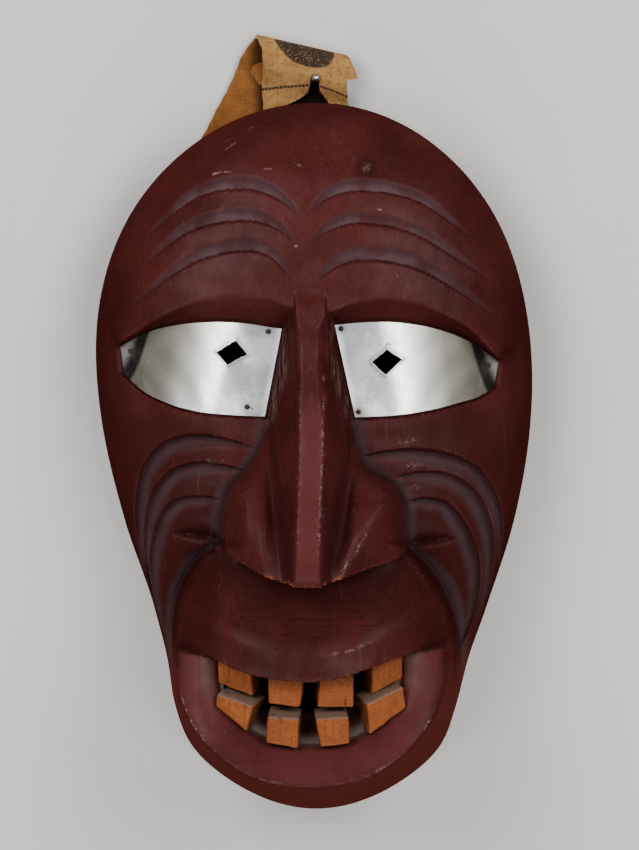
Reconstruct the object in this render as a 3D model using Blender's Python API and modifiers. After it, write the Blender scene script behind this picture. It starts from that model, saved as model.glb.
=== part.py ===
# A carved wooden false face mask with sheet-metal eyes and a folded hide strap.
# It lies on its back rim: +Z is out of the face, +Y is towards the crown, +X is the viewer's right.
# Metres. The origin is under the middle of the whole object, on the surface that it lies on.

import math

import bmesh
import bpy
import numpy as np
from mathutils import Matrix, Vector

# Sizes of the face
FACE_HEIGHT = 0.290
FACE_WIDTH = 0.181
FACE_DEPTH = 0.112
WALL = 0.011
RIM_TAPER = 0.006
TOUCH_GAP = 0.0003

# Grain of the carved surface: cells across the block before it is thinned, and triangles kept
BLOCK_CELLS = 200
MASK_TRIANGLES = 5000

# Sight holes and eye plates
PLATE_THICKNESS = 0.0006
PLATE_MARGIN = 0.0009
SIGHT_HOLE_WIDTH = 0.0123
SIGHT_HOLE_HEIGHT = 0.0102
EYE_BORE_MARGIN = 0.0033
NAIL_HEAD_RADIUS = 0.0011
NAIL_HEAD_HEIGHT = 0.0007
NAIL_SHANK_RADIUS = 0.0005
NAIL_LENGTH = 0.0060

# Mouth
MOUTH_GAP_HEIGHT = 0.0145
TOOTH_DEPTH = 0.016

# Hide strap and its pin
STRAP_WIDTH = 0.040
STRAP_THICKNESS = 0.0016
STRAP_GAP = 0.0006
STRAP_FOLD_HEIGHT = 0.0105
STRAP_REACH = 0.0217
STRAP_TAIL = 0.0110
STRAP_SLIT_WIDTH = 0.0125
STRAP_SLIT_LENGTH = 0.0130
STRAP_TORN_EDGE = 0.0065
LANE_ROOM = 0.010
PIN_HEAD_RADIUS = 0.00175
PIN_SHANK_RADIUS = 0.0006
PIN_LENGTH = 0.0065
PIN_SET_BACK = 0.0120

# The figure's own proportions below are shares of the face's height, across, up and out.
# One share is FACE_HEIGHT up, and across and out follow FACE_WIDTH and FACE_DEPTH.
WIDTH_SHARE = 0.624
DEPTH_SHARE = 0.386
ACROSS = FACE_WIDTH / WIDTH_SHARE
UP = FACE_HEIGHT
OUT = FACE_DEPTH / DEPTH_SHARE

OUTLINE_MIDDLE = 0.005
OUTLINE_HALF = 0.495
# Fullness of the egg outline on each side, from the chin (-1) to the crown (1)
LEFT_FULLNESS = [(-1.0, 0.300), (-0.85, 0.313), (-0.72, 0.286), (-0.60, 0.262), (-0.45, 0.256),
                 (-0.20, 0.276), (0.10, 0.306), (0.40, 0.336), (0.70, 0.359), (1.0, 0.370)]
RIGHT_FULLNESS = [(-1.0, 0.305), (-0.85, 0.314), (-0.72, 0.284), (-0.60, 0.267), (-0.45, 0.269),
                  (-0.20, 0.286), (0.10, 0.306), (0.40, 0.325), (0.70, 0.344), (1.0, 0.356)]
# Height of the outline's edge above the rim, from the chin (-1) to the crown (1)
EDGE_HEIGHT = [(-1.0, 0.165), (-0.75, 0.138), (-0.50, 0.102), (-0.15, 0.078), (1.0, 0.074)]

# Lines across the face: (across, up)
BROW_EDGE = [(-0.300, 0.150), (-0.271, 0.174), (-0.228, 0.205), (-0.182, 0.231), (-0.142, 0.243),
             (-0.102, 0.248), (-0.066, 0.244), (-0.036, 0.232), (-0.008, 0.222), (0.026, 0.228),
             (0.054, 0.238), (0.094, 0.242), (0.134, 0.237), (0.179, 0.218), (0.217, 0.193),
             (0.253, 0.152), (0.300, 0.110)]
PLATE_TOP = [(-0.300, 0.145), (-0.270, 0.169), (-0.230, 0.192), (-0.192, 0.203), (-0.143, 0.209),
             (-0.098, 0.208), (-0.048, 0.201), (0.027, 0.206), (0.059, 0.209), (0.119, 0.208),
             (0.160, 0.200), (0.213, 0.178), (0.254, 0.147), (0.300, 0.105)]
PLATE_BOTTOM = [(-0.300, 0.155), (-0.268, 0.123), (-0.247, 0.106), (-0.205, 0.087), (-0.164, 0.078),
                (-0.123, 0.075), (-0.071, 0.073), (0.055, 0.072), (0.120, 0.075), (0.160, 0.080),
                (0.202, 0.089), (0.231, 0.096), (0.246, 0.104), (0.300, 0.160)]
PLATE_LEVEL = [(-0.300, 0.118), (-0.270, 0.141), (-0.230, 0.166), (-0.192, 0.187), (-0.143, 0.205),
               (-0.098, 0.212), (-0.048, 0.213), (0.030, 0.213), (0.070, 0.212), (0.119, 0.207),
               (0.160, 0.196), (0.213, 0.172), (0.254, 0.144), (0.300, 0.108)]
LIP_CREASE = [(-0.200, -0.172), (-0.169, -0.194), (-0.126, -0.214), (-0.086, -0.228), (-0.048, -0.236),
              (-0.009, -0.239), (0.023, -0.236), (0.068, -0.224), (0.117, -0.205), (0.157, -0.186),
              (0.195, -0.165)]
LIP_EDGE = [(-0.205, -0.238), (-0.185, -0.243), (-0.142, -0.253), (-0.109, -0.264), (-0.061, -0.273),
            (-0.015, -0.277), (0.023, -0.274), (0.068, -0.262), (0.121, -0.248), (0.175, -0.238),
            (0.200, -0.234)]
NOSE_BOTTOM = [(-0.160, -0.096), (-0.131, -0.102), (-0.102, -0.113), (-0.070, -0.126),
               (-0.034, -0.134), (-0.003, -0.136), (0.026, -0.130), (0.068, -0.120), (0.100, -0.116),
               (0.127, -0.109), (0.160, -0.100)]

# Lines up the face: (up, across) or (up, out)
FOREHEAD_LEVEL = 0.262
SILL_RISE = 0.005
CHEEK_LEVEL = [(-0.40, 0.180), (-0.30, 0.186), (-0.20, 0.196), (-0.10, 0.206), (0.00, 0.212),
               (0.07, 0.216), (0.30, 0.220)]
RIDGE_MIDDLE = [(-0.140, -0.012), (-0.067, -0.010), (0.072, -0.006), (0.240, -0.008)]
RIDGE_HALF = [(-0.140, 0.017), (-0.067, 0.0150), (0.072, 0.0155), (0.200, 0.0190), (0.240, 0.0205)]
RIDGE_LEVEL = [(-0.140, 0.366), (-0.128, 0.376), (-0.105, 0.384), (-0.067, 0.383), (0.000, 0.361),
               (0.072, 0.334), (0.150, 0.303), (0.200, 0.283), (0.239, 0.266), (0.262, 0.258)]
NOSE_FOOT_LEFT = [(-0.140, 0.124), (-0.102, 0.125), (-0.052, 0.122), (-0.021, 0.114), (0.002, 0.092),
                  (0.026, 0.077), (0.067, 0.066), (0.133, 0.050), (0.200, 0.040), (0.239, 0.026)]
NOSE_FOOT_RIGHT = [(-0.140, 0.138), (-0.083, 0.137), (-0.028, 0.127), (-0.013, 0.113), (0.006, 0.081),
                   (0.034, 0.066), (0.075, 0.059), (0.137, 0.044), (0.206, 0.035), (0.239, 0.026)]
STEEP_FOOT = [(-0.140, 0.066), (-0.040, 0.070), (0.026, 0.070), (0.070, 0.062), (0.133, 0.048),
              (0.200, 0.038), (0.239, 0.026)]
WING_ARRIS = [(0.000, -0.128), (0.036, -0.121), (0.050, -0.103), (0.060, -0.082), (0.078, -0.062),
              (0.100, -0.036), (0.113, -0.026), (0.140, -0.022)]
WING_LEVEL = [(0.000, 0.366), (0.040, 0.351), (0.075, 0.325), (0.107, 0.291), (0.125, 0.268),
              (0.140, 0.250)]
# Steepness of the nose: its sides' foot, and the fall over the wings, at the foot, below and above
NOSE_SIDE_FOOT = 0.205
WING_SLOPE = 0.75
NOSE_FOOT_SLOPE = 3.2
NOSE_UNDER_SLOPE = 7.0
BRIDGE_TOP = 0.236
BRIDGE_SLOPE = 1.2
MUZZLE_LEFT = [(-0.420, 0.230), (-0.340, 0.204), (-0.316, 0.198), (-0.259, 0.199), (-0.211, 0.197),
               (-0.175, 0.188), (-0.137, 0.169), (-0.111, 0.149), (-0.100, 0.130), (-0.085, 0.090)]
MUZZLE_RIGHT = [(-0.420, 0.230), (-0.340, 0.212), (-0.302, 0.200), (-0.254, 0.197), (-0.211, 0.188),
                (-0.175, 0.174), (-0.137, 0.151), (-0.114, 0.132), (-0.100, 0.118), (-0.085, 0.090)]
LIP_LEVEL = [(0.000, 0.325), (0.050, 0.317), (0.090, 0.299), (0.125, 0.271), (0.155, 0.239),
             (0.180, 0.212), (0.205, 0.186)]
JAW_LEVEL = [(0.000, 0.345), (0.060, 0.334), (0.105, 0.312), (0.140, 0.285), (0.168, 0.250),
             (0.185, 0.216), (0.210, 0.178)]
UPPER_LIP_SLOPE = 0.48
LOWER_LIP_DROP = 0.047
MOUTH_DEPTH = 0.038
MOUTH_CENTRE = (-0.008, -0.270)
MOUTH_INNER = (0.139, 0.103)
MOUTH_OUTER = (0.183, 0.145)
# Slot behind the teeth: its middle (across, up), width, bend, and where it starts and ends out from the rim
SLOT_MIDDLE = (-0.010, -0.306)
SLOT_WIDTH = 0.236
SLOT_BEND = 1.7
SLOT_LEVELS = (0.07, 0.27)
# Hollow: its roof, and the room for the wearer's nose and mouth as (depth, middle up, across, up)
HOLLOW_LEVEL = 0.172
NOSE_ROOM = (0.050, -0.02, 0.16, 0.30)
MOUTH_ROOM = (0.040, -0.60, 0.40, 0.22)

# Gouges: the line's points, its width, its depth, and the share of its width above the valley
FOREHEAD_GOUGES = [
    ([(-0.024, 0.357), (-0.060, 0.380), (-0.104, 0.389), (-0.165, 0.375), (-0.234, 0.321)], 0.022),
    ([(-0.030, 0.320), (-0.065, 0.342), (-0.110, 0.347), (-0.175, 0.330), (-0.240, 0.279)], 0.020),
    ([(-0.037, 0.273), (-0.062, 0.299), (-0.100, 0.307), (-0.170, 0.288), (-0.261, 0.222)], 0.021),
    ([(-0.012, 0.357), (0.020, 0.379), (0.065, 0.387), (0.140, 0.371), (0.216, 0.319)], 0.020),
    ([(-0.010, 0.318), (0.024, 0.337), (0.066, 0.344), (0.140, 0.326), (0.241, 0.260)], 0.019),
    ([(-0.001, 0.265), (0.030, 0.287), (0.072, 0.295), (0.150, 0.277), (0.257, 0.206)], 0.024)]
FOREHEAD_GOUGE_DEPTH = 0.0078
FOREHEAD_GOUGE_ABOVE = 0.70
CHEEK_GOUGES = [
    ([(-0.084, 0.032), (-0.120, 0.041), (-0.155, 0.045), (-0.190, 0.040), (-0.218, 0.024),
      (-0.240, -0.010), (-0.250, -0.060), (-0.250, -0.115), (-0.243, -0.165)], 0.030),
    ([(-0.099, 0.000), (-0.130, 0.005), (-0.164, 0.006), (-0.200, -0.008), (-0.225, -0.040),
      (-0.238, -0.085), (-0.239, -0.140), (-0.231, -0.195)], 0.030),
    ([(-0.132, -0.041), (-0.160, -0.041), (-0.193, -0.048), (-0.216, -0.074), (-0.229, -0.115),
      (-0.233, -0.160), (-0.226, -0.205), (-0.213, -0.255)], 0.030),
    ([(0.063, 0.020), (0.100, 0.025), (0.140, 0.025), (0.182, 0.016), (0.218, -0.002),
      (0.245, -0.036), (0.260, -0.085), (0.258, -0.150)], 0.032),
    ([(0.108, -0.010), (0.145, -0.006), (0.181, -0.011), (0.212, -0.030), (0.234, -0.062),
      (0.247, -0.115), (0.243, -0.175), (0.224, -0.240)], 0.032),
    ([(0.122, -0.045), (0.152, -0.043), (0.181, -0.053), (0.205, -0.085), (0.223, -0.130),
      (0.227, -0.175), (0.219, -0.220), (0.203, -0.266)], 0.032)]
CHEEK_GOUGE_DEPTH = 0.0105
CHEEK_GOUGE_ABOVE = 0.26
FOLD_GOUGES = [
    ([(-0.128, -0.103), (-0.160, -0.099), (-0.192, -0.104)], 0.020),
    ([(0.128, -0.107), (0.157, -0.104), (0.190, -0.108)], 0.018)]
FOLD_GOUGE_DEPTH = 0.010
FOLD_GOUGE_ABOVE = 0.70
MUZZLE_GOUGES = [
    ([(-0.128, -0.104), (-0.152, -0.114), (-0.173, -0.138), (-0.191, -0.172), (-0.201, -0.212),
      (-0.204, -0.262), (-0.202, -0.310)], 0.022),
    ([(0.127, -0.108), (0.154, -0.134), (0.178, -0.172), (0.194, -0.212), (0.203, -0.256),
      (0.207, -0.305)], 0.030)]
MUZZLE_GOUGE_DEPTH = 0.012
MUZZLE_GOUGE_ABOVE = 0.70

# Eyes: sight hole's middle and corners (in halves of its width and height), plate edges and nails
EYES = {
    "left": {"hole": (-0.116, 0.164),
             "corners": [(-1.0, 0.02), (-0.30, -0.95), (1.0, -0.10), (0.28, 1.0)],
             "inner": [(-0.048, 0.203), (-0.0715, 0.070)],
             "outer": [(-0.2735, 0.175), (-0.2735, 0.110)],
             "nails": [(-0.0655, 0.194), (-0.095, 0.0895), (-0.258, 0.159)]},
    "right": {"hole": (0.098, 0.151),
              "corners": [(-1.0, 0.03), (-0.10, -1.0), (1.0, 0.20), (0.0, 1.0)],
              "inner": [(0.027, 0.209), (0.055, 0.069)],
              "outer": [(0.2550, 0.160), (0.2490, 0.090)],
              "nails": [(0.0345, 0.198), (0.0585, 0.0825), (0.240, 0.1395)]}}

# Teeth: (across, up) of the middle, width, height, tilt, turn outwards, front level
UPPER_TEETH = [(-0.112, -0.276, 0.046, 0.052, -19.0, -20.0, 0.274),
               (-0.041, -0.290, 0.048, 0.050, -6.0, -5.0, 0.297),
               (0.027, -0.286, 0.048, 0.052, 8.0, 5.0, 0.297),
               (0.099, -0.268, 0.044, 0.050, 19.0, 20.0, 0.274)]
LOWER_TEETH = [(-0.113, -0.323, 0.052, 0.048, -19.0, -20.0, 0.288),
               (-0.045, -0.3415, 0.046, 0.051, -6.0, -5.0, 0.311),
               (0.024, -0.3405, 0.046, 0.051, 4.0, 5.0, 0.311),
               (0.098, -0.319, 0.052, 0.048, 24.0, 20.0, 0.288)]
TOOTH_CHAMFER = 0.012

# Strap: the ends of its fold as (across in shares, metres past the middle of the fold), and its lean
CROWN = OUTLINE_MIDDLE + OUTLINE_HALF
FOLD_ENDS = [(-0.083, 0.0046), (0.056, -0.0046)]
STRAP_LEAN = 0.273
STRAP_LOW = STRAP_GAP + STRAP_THICKNESS / 2
STRAP_HIGH = STRAP_LOW + STRAP_THICKNESS + STRAP_GAP
STRAP_LANE = STRAP_HIGH + STRAP_THICKNESS / 2 + STRAP_GAP
PIN_ACROSS = 0.000
LANE_ENDS = (-0.210, 0.066)


def smooth_line(points, x):
    """Height at x of a smooth curve through a few points."""
    px, py = np.array(points, float).T
    slope = np.gradient(py, px)
    i = np.clip(np.searchsorted(px, x) - 1, 0, len(px) - 2)
    step = px[i + 1] - px[i]
    s = np.clip((x - px[i]) / step, 0, 1)
    return ((1 + 2 * s) * (1 - s) ** 2 * py[i] + s * (1 - s) ** 2 * step * slope[i]
            + s * s * (3 - 2 * s) * py[i + 1] + s * s * (s - 1) * step * slope[i + 1])


def smooth_path(points, pieces=6):
    """Points along a smooth curve through the given ones."""
    p = np.array(points, float)
    ends = np.vstack([2 * p[0] - p[1], p, 2 * p[-1] - p[-2]])
    out = []
    for a, b, c, d in zip(ends, ends[1:], ends[2:], ends[3:]):
        for t in np.arange(pieces) / pieces:
            out.append(0.5 * (2 * b + (c - a) * t + (2 * a - 5 * b + 4 * c - d) * t ** 2
                              + (3 * b - a - 3 * c + d) * t ** 3))
    return np.array(out + [p[-1]])


def lower_of(a, b, soft):
    """The lower of two heights, with a soft edge where they meet."""
    t = np.clip(0.5 + 0.5 * (b - a) / soft, 0, 1)
    return b + (a - b) * t - soft * t * (1 - t)


def higher_of(a, b, soft):
    return -lower_of(-a, -b, soft)


def ease(low, high, x):
    t = np.clip((x - low) / (high - low), 0, 1)
    return t * t * (3 - 2 * t)


def ramp(x, soft=0.10):
    """0 to 1, straight between and slightly rounded at both ends."""
    return lower_of(higher_of(x, np.zeros_like(x), soft), np.ones_like(x), soft)


def fullness(across, up):
    left = smooth_line(LEFT_FULLNESS, up)
    right = smooth_line(RIGHT_FULLNESS, up)
    return np.where(across < 0, left, right)


def gouge(p, q, line, width, depth, above):
    """Depth of a tapered V-gouge whose valley follows a line."""
    path = smooth_path(line)
    near = ((p > path[:, 0].min() - width) & (p < path[:, 0].max() + width)
            & (q > path[:, 1].min() - width) & (q < path[:, 1].max() + width))
    cut = np.zeros_like(p)
    x, y = p[near], q[near]
    best = np.full(x.shape, 1.0)
    along = np.zeros(x.shape)
    side = np.zeros(x.shape)
    outward = 1.0 if path[-1, 0] > path[0, 0] else -1.0
    for i, (a, b) in enumerate(zip(path[:-1], path[1:])):
        d = b - a
        t = np.clip(((x - a[0]) * d[0] + (y - a[1]) * d[1]) / (d @ d), 0, 1)
        ex, ey = x - a[0] - t * d[0], y - a[1] - t * d[1]
        away = np.hypot(ex, ey)
        nearer = away < best
        best = np.where(nearer, away, best)
        along = np.where(nearer, (i + t) / (len(path) - 1), along)
        side = np.where(nearer, np.sign(outward * (d[0] * ey - d[1] * ex)), side)
    taper = np.sin(np.pi * np.clip(along, 0, 1)) ** 0.6
    reach = width * np.maximum(taper, 0.02) * np.where(side > 0, above, 1 - above)
    cut[near] = depth * taper * np.clip(1 - best / reach, 0, 1) ** 1.15
    return cut


def nose(p, q, base):
    """Flat-ridged nose with fluted sides and wings that end in an arris."""
    middle = smooth_line(RIDGE_MIDDLE, q)
    d = np.abs(p - middle)
    ridge = smooth_line(RIDGE_LEVEL, q)
    half = smooth_line(RIDGE_HALF, q)
    foot = np.where(p < middle, smooth_line(NOSE_FOOT_LEFT, q), smooth_line(NOSE_FOOT_RIGHT, q))
    steep = smooth_line(STEEP_FOOT, q)
    side = ridge - (ridge - NOSE_SIDE_FOOT) * (d - half) / (steep - half)
    wing = smooth_line(WING_LEVEL, d) - WING_SLOPE * np.maximum(q - smooth_line(WING_ARRIS, d), 0)
    side = higher_of(side, wing, 0.016)
    top = lower_of(ridge + 0 * d, side, 0.004)
    top = lower_of(top, base + NOSE_FOOT_SLOPE * (foot - d), 0.010)
    below = smooth_line(NOSE_BOTTOM, p) - q
    top = np.where(below > 0, top - NOSE_UNDER_SLOPE * below, top)
    above = q - BRIDGE_TOP
    top = np.where(above > 0, top - BRIDGE_SLOPE * above, top)
    inside = (d < foot + 0.004) & (q < 0.275)
    return np.where(inside, np.maximum(base, top), base)


def mouth_ring(p, q, half_sizes, power):
    """1 on a rounded ring under the mouth, less inside it."""
    across = np.abs(p - MOUTH_CENTRE[0]) / half_sizes[0]
    down = np.maximum(MOUTH_CENTRE[1] - q, 0) / half_sizes[1]
    return (across ** power + down ** power) ** (1 / power)


def muzzle(p, q, roundness, edge):
    """Upper lip, mouth recess, lower lip and chin."""
    d = np.abs(p - MOUTH_CENTRE[0])
    lip = smooth_line(LIP_LEVEL, d)
    upper = lip - UPPER_LIP_SLOPE * higher_of(q - smooth_line(LIP_CREASE, p), 0 * q, 0.006)
    jaw = smooth_line(JAW_LEVEL, d)
    inner = mouth_ring(p, q, MOUTH_INNER, 2.25)
    outer = mouth_ring(p, q, MOUTH_OUTER, 2.1)
    band = np.clip((1 - outer) / np.maximum(1 - outer + inner - 1, 1e-4), 0, 1)
    lower = jaw - LOWER_LIP_DROP * band
    floor = jaw - LOWER_LIP_DROP - MOUTH_DEPTH * ramp((1 - inner) / 0.05)
    lower = np.where(inner < 1, floor, lower)
    fall = np.clip((outer - 1) / np.maximum(outer - 1 + 2.2 * (1 - roundness), 1e-4), 0, 1)
    chin = edge + (jaw - edge) * (1 - fall ** 1.4) ** 0.8
    lower = np.where(outer > 1, chin, lower)
    upper = lower_of(upper, np.where(outer > 1, chin, jaw + 0.02), 0.008)
    return lower + (upper - lower) * ramp((q - smooth_line(LIP_EDGE, p)) / 0.004 + 0.5)


def face_height(p, q):
    """Height of the carved face over the rim, in shares, at a place in shares."""
    y = (q - OUTLINE_MIDDLE) / OUTLINE_HALF
    x = p / fullness(p, np.clip(y, -1, 1))
    r = np.clip(np.hypot(x, y), 0, 1)
    edge = smooth_line(EDGE_HEIGHT, y)
    swell = (1 - r ** 3) ** 0.5
    forehead = edge + (FOREHEAD_LEVEL - edge) * swell
    cheek = edge + (smooth_line(CHEEK_LEVEL, q) - edge) * swell
    top = smooth_line(PLATE_TOP, p)
    bottom = smooth_line(PLATE_BOTTOM, p)
    brow = smooth_line(BROW_EDGE, p)
    level = smooth_line(PLATE_LEVEL, p)
    sill = level + SILL_RISE
    cheek = cheek + (sill - cheek) * ease(bottom - 0.10, bottom, q) * ease(0.99, 0.93, r)
    under = level + (forehead - level) * ramp((q - top) / np.maximum(brow - top, 0.006))
    in_socket = (q > bottom) & (top > bottom)
    face = np.where(in_socket, np.minimum(under, forehead), cheek)
    aside = (q > bottom) & (top <= bottom)
    face = np.where(aside, cheek + (forehead - cheek) * ease(bottom - 0.05, bottom + 0.09, q), face)
    for line, width in FOREHEAD_GOUGES:
        face = face - gouge(p, q, line, width, FOREHEAD_GOUGE_DEPTH, FOREHEAD_GOUGE_ABOVE)
    for line, width in CHEEK_GOUGES:
        face = face - gouge(p, q, line, width, CHEEK_GOUGE_DEPTH, CHEEK_GOUGE_ABOVE)
    for line, width in FOLD_GOUGES:
        face = face - gouge(p, q, line, width, FOLD_GOUGE_DEPTH, FOLD_GOUGE_ABOVE)
    for line, width in MUZZLE_GOUGES:
        face = face - gouge(p, q, line, width, MUZZLE_GOUGE_DEPTH, MUZZLE_GOUGE_ABOVE)
    side = np.where(p < MOUTH_CENTRE[0], smooth_line(MUZZLE_LEFT, q), smooth_line(MUZZLE_RIGHT, q))
    inside = ramp((side - np.abs(p)) / 0.007) * ease(-0.080, -0.100, q)
    face = face + (muzzle(p, q, r, edge) - face) * inside
    return nose(p, q, face)


def hollow_height(x, y):
    """Height of the hollow's roof over the rim, at a place on the unit disc."""
    r = np.clip(np.hypot(x, y), 0, 1)
    roof = HOLLOW_LEVEL * (1 - r ** 3) ** 0.5
    for depth, middle, across, up in (NOSE_ROOM, MOUTH_ROOM):
        roof = roof + depth * np.exp(-(x / across) ** 2 - ((y - middle) / up) ** 2) * (1 - r ** 6)
    return roof


def new_object(name, mesh, collection, material=None):
    obj = bpy.data.objects.new(name, mesh)
    collection.objects.link(obj)
    if material:
        mesh.materials.append(material)
    return obj


def new_material(name, colour, roughness, metallic=0.0):
    mat = bpy.data.materials.new(name)
    mat.use_nodes = True
    shader = mat.node_tree.nodes["Principled BSDF"]
    shader.inputs["Base Color"].default_value = (*colour, 1)
    shader.inputs["Roughness"].default_value = roughness
    shader.inputs["Metallic"].default_value = metallic
    mat.diffuse_color = (*colour, 1)
    return mat


def to_mesh(bm, name):
    mesh = bpy.data.meshes.new(name)
    bm.to_mesh(mesh)
    bm.free()
    return mesh


def frozen(obj, name, material, collection):
    """The object as its modifiers leave it, as a new object."""
    bpy.context.view_layer.update()
    seen = obj.evaluated_get(bpy.context.evaluated_depsgraph_get())
    mesh = bpy.data.meshes.new_from_object(seen)
    mesh.materials.clear()
    mesh.name = name
    out = new_object(name, mesh, collection, material)
    bpy.data.objects.remove(obj)
    return out


def as_cutter(obj):
    obj.hide_render = True
    obj.display_type = "WIRE"
    return obj


def cut(obj, cutter, operation="DIFFERENCE"):
    mod = obj.modifiers.new(cutter.name, "BOOLEAN")
    mod.operation = operation
    mod.solver = "EXACT"
    mod.object = cutter


def spot(p, q, out=0.0):
    """A place in metres from shares across and up, with a height in metres."""
    return Vector((p * ACROSS, q * UP, out))


def surface(p, q):
    """Height in metres of the uncut face at a place in shares."""
    return float(face_height(np.array([p]), np.array([q]))[0]) * OUT


def carved_block(collection):
    """Front, tapered side wall, flat rim and hollow, as one closed body."""
    bm = bmesh.new()
    bmesh.ops.create_grid(bm, x_segments=BLOCK_CELLS, y_segments=BLOCK_CELLS, size=1)
    ring = [e for e in bm.edges if e.is_boundary]
    wall_rings = 5
    for level in range(1, wall_rings + 1):
        made = bmesh.ops.extrude_edge_only(bm, edges=ring)["geom"]
        ring = [e for e in made if isinstance(e, bmesh.types.BMEdge) and e.is_boundary]
        for v in {v for e in ring for v in e.verts}:
            v.co.z = -level
    inner = bmesh.ops.create_grid(bm, x_segments=BLOCK_CELLS, y_segments=BLOCK_CELLS, size=1)["verts"]
    for v in inner:
        v.co.z = -wall_rings - 1
    inner_faces = list({f for v in inner for f in v.link_faces})
    bmesh.ops.reverse_faces(bm, faces=inner_faces)
    inner_ring = list({e for v in inner for e in v.link_edges if e.is_boundary})
    bmesh.ops.bridge_loops(bm, edges=ring + inner_ring)

    flat = np.array([v.co[:] for v in bm.verts])
    u, v, level = flat[:, 0], flat[:, 1], -flat[:, 2]
    x = u * np.sqrt(1 - v * v / 2)
    y = v * np.sqrt(1 - u * u / 2)
    r = np.hypot(x, y)
    spread = np.where(r > 1e-6, 1.25 - 0.25 * r ** 4, 1.25)
    x, y = x * spread, y * spread
    share = np.clip(level / wall_rings, 0, 1)
    is_inner = level > wall_rings + 0.5
    inset = np.where(is_inner, RIM_TAPER + WALL, RIM_TAPER * share ** 1.5)
    q = OUTLINE_MIDDLE + y * (OUTLINE_HALF - inset / UP)
    p = x * (fullness(x, y) - inset / ACROSS)
    front = face_height(p, q)
    wall = smooth_line(EDGE_HEIGHT, y) * (1 - share)
    height = np.where(level < 0.5, front, np.where(is_inner, hollow_height(x, y), wall))
    for vert, a, b, c in zip(bm.verts, p * ACROSS, q * UP, height * OUT):
        vert.co = (a, b, c)
    bmesh.ops.recalc_face_normals(bm, faces=bm.faces)
    block = new_object("block", to_mesh(bm, "block"), collection)
    thin = block.modifiers.new("thin", "DECIMATE")
    thin.ratio = MASK_TRIANGLES / (4 * BLOCK_CELLS ** 2)
    return block


def plate_outline(side):
    """Corner points of an eye plate, in metres, drawn in from its socket."""
    eye = EYES[side]
    sign = -1 if side == "left" else 1
    (a, top_in), (b, low_in) = eye["inner"]
    (c, top_out), (d, low_out) = eye["outer"]
    steps = np.linspace(0, 1, 15)
    upper = a + (c - a) * steps
    lower = d + (b - d) * steps
    margin = PLATE_MARGIN / UP
    points = [(p, float(smooth_line(PLATE_TOP, np.array(p))) - margin) for p in upper]
    points += [(p, float(smooth_line(PLATE_BOTTOM, np.array(p))) + margin) for p in lower]
    inward = sign * PLATE_MARGIN / ACROSS
    moved = []
    for i, (p, q) in enumerate(points):
        at_nose = i == 0 or i == len(points) - 1
        at_corner = i in (len(steps) - 1, len(steps))
        moved.append((p + (inward if at_nose else -inward if at_corner else 0), q))
    return moved


def plate_sheet(side, grow, low, high):
    """Closed sheet over the socket floor, from low to high above it, grown outwards."""
    points = plate_outline(side)
    middle = np.mean(points, axis=0)
    columns = 14
    bm = bmesh.new()
    bmesh.ops.create_grid(bm, x_segments=columns, y_segments=1, size=1)
    top = points[:columns + 1]
    bottom = points[columns + 1:][::-1]
    for v in bm.verts:
        i = round((v.co.x + 1) / 2 * columns)
        p, q = top[i] if v.co.y > 0 else bottom[i]
        q += (grow if v.co.y > 0 else -grow) / UP
        if i in (0, columns):
            p += math.copysign(grow / ACROSS, p - middle[0])
        v.co = (p, q, 0)
    levels = smooth_line(PLATE_LEVEL, np.array([v.co.x for v in bm.verts]))
    for v, level in zip(bm.verts, levels):
        v.co = spot(v.co.x, v.co.y, level * OUT + low)
    made = bmesh.ops.extrude_face_region(bm, geom=list(bm.faces))["geom"]
    for v in made:
        if isinstance(v, bmesh.types.BMVert):
            v.co.z += high - low
    bmesh.ops.recalc_face_normals(bm, faces=bm.faces)
    return bm


def diamond(side, low, high):
    """Prism with the sight hole's outline, from low to high."""
    eye = EYES[side]
    bm = bmesh.new()
    corners = [bm.verts.new((x * SIGHT_HOLE_WIDTH / 2, y * SIGHT_HOLE_HEIGHT / 2, low))
               for x, y in eye["corners"]]
    face = bm.faces.new(corners)
    made = bmesh.ops.extrude_face_region(bm, geom=[face])["geom"]
    raised = [v for v in made if isinstance(v, bmesh.types.BMVert)]
    bmesh.ops.translate(bm, vec=(0, 0, high - low), verts=raised)
    bmesh.ops.translate(bm, vec=spot(*eye["hole"]), verts=bm.verts)
    bmesh.ops.recalc_face_normals(bm, faces=bm.faces)
    return bm


def nail(head_radius, head_height, shank_radius, length, name, material, collection):
    """Domed head with a pointed shank, turned about its own axis."""
    profile = [(0.0, head_height), (head_radius * 0.6, head_height * 0.8), (head_radius, 0.0),
               (shank_radius, 0.0), (shank_radius, -length * 0.8), (0.0, -length)]
    bm = bmesh.new()
    verts = [bm.verts.new((x, 0, z)) for x, z in profile]
    edges = [bm.edges.new(pair) for pair in zip(verts, verts[1:])]
    bmesh.ops.spin(bm, geom=verts + edges, axis=(0, 0, 1), cent=(0, 0, 0), steps=10,
                   angle=math.tau, use_merge=True)
    bmesh.ops.remove_doubles(bm, verts=bm.verts, dist=1e-6)
    bmesh.ops.recalc_face_normals(bm, faces=bm.faces)
    return new_object(name, to_mesh(bm, name), collection, material)


def tooth(data, lower, name, collection):
    p, q, width, height, tilt, turn, front = data
    bm = bmesh.new()
    bmesh.ops.create_cube(bm, size=1)
    for v in bm.verts:
        v.co = (v.co.x * width * ACROSS, v.co.y * height * UP, (v.co.z - 0.5) * TOOTH_DEPTH)
        if lower and v.co.y > 0 and v.co.z > -TOOTH_DEPTH / 2:
            v.co.y -= TOOTH_CHAMFER * UP
    turned = Matrix.Rotation(math.radians(turn), 4, "Y") @ Matrix.Rotation(math.radians(tilt), 4, "Z")
    bmesh.ops.transform(bm, matrix=Matrix.Translation(spot(p, q, front * OUT)) @ turned, verts=bm.verts)
    return as_cutter(new_object(name, to_mesh(bm, name), collection))


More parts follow.
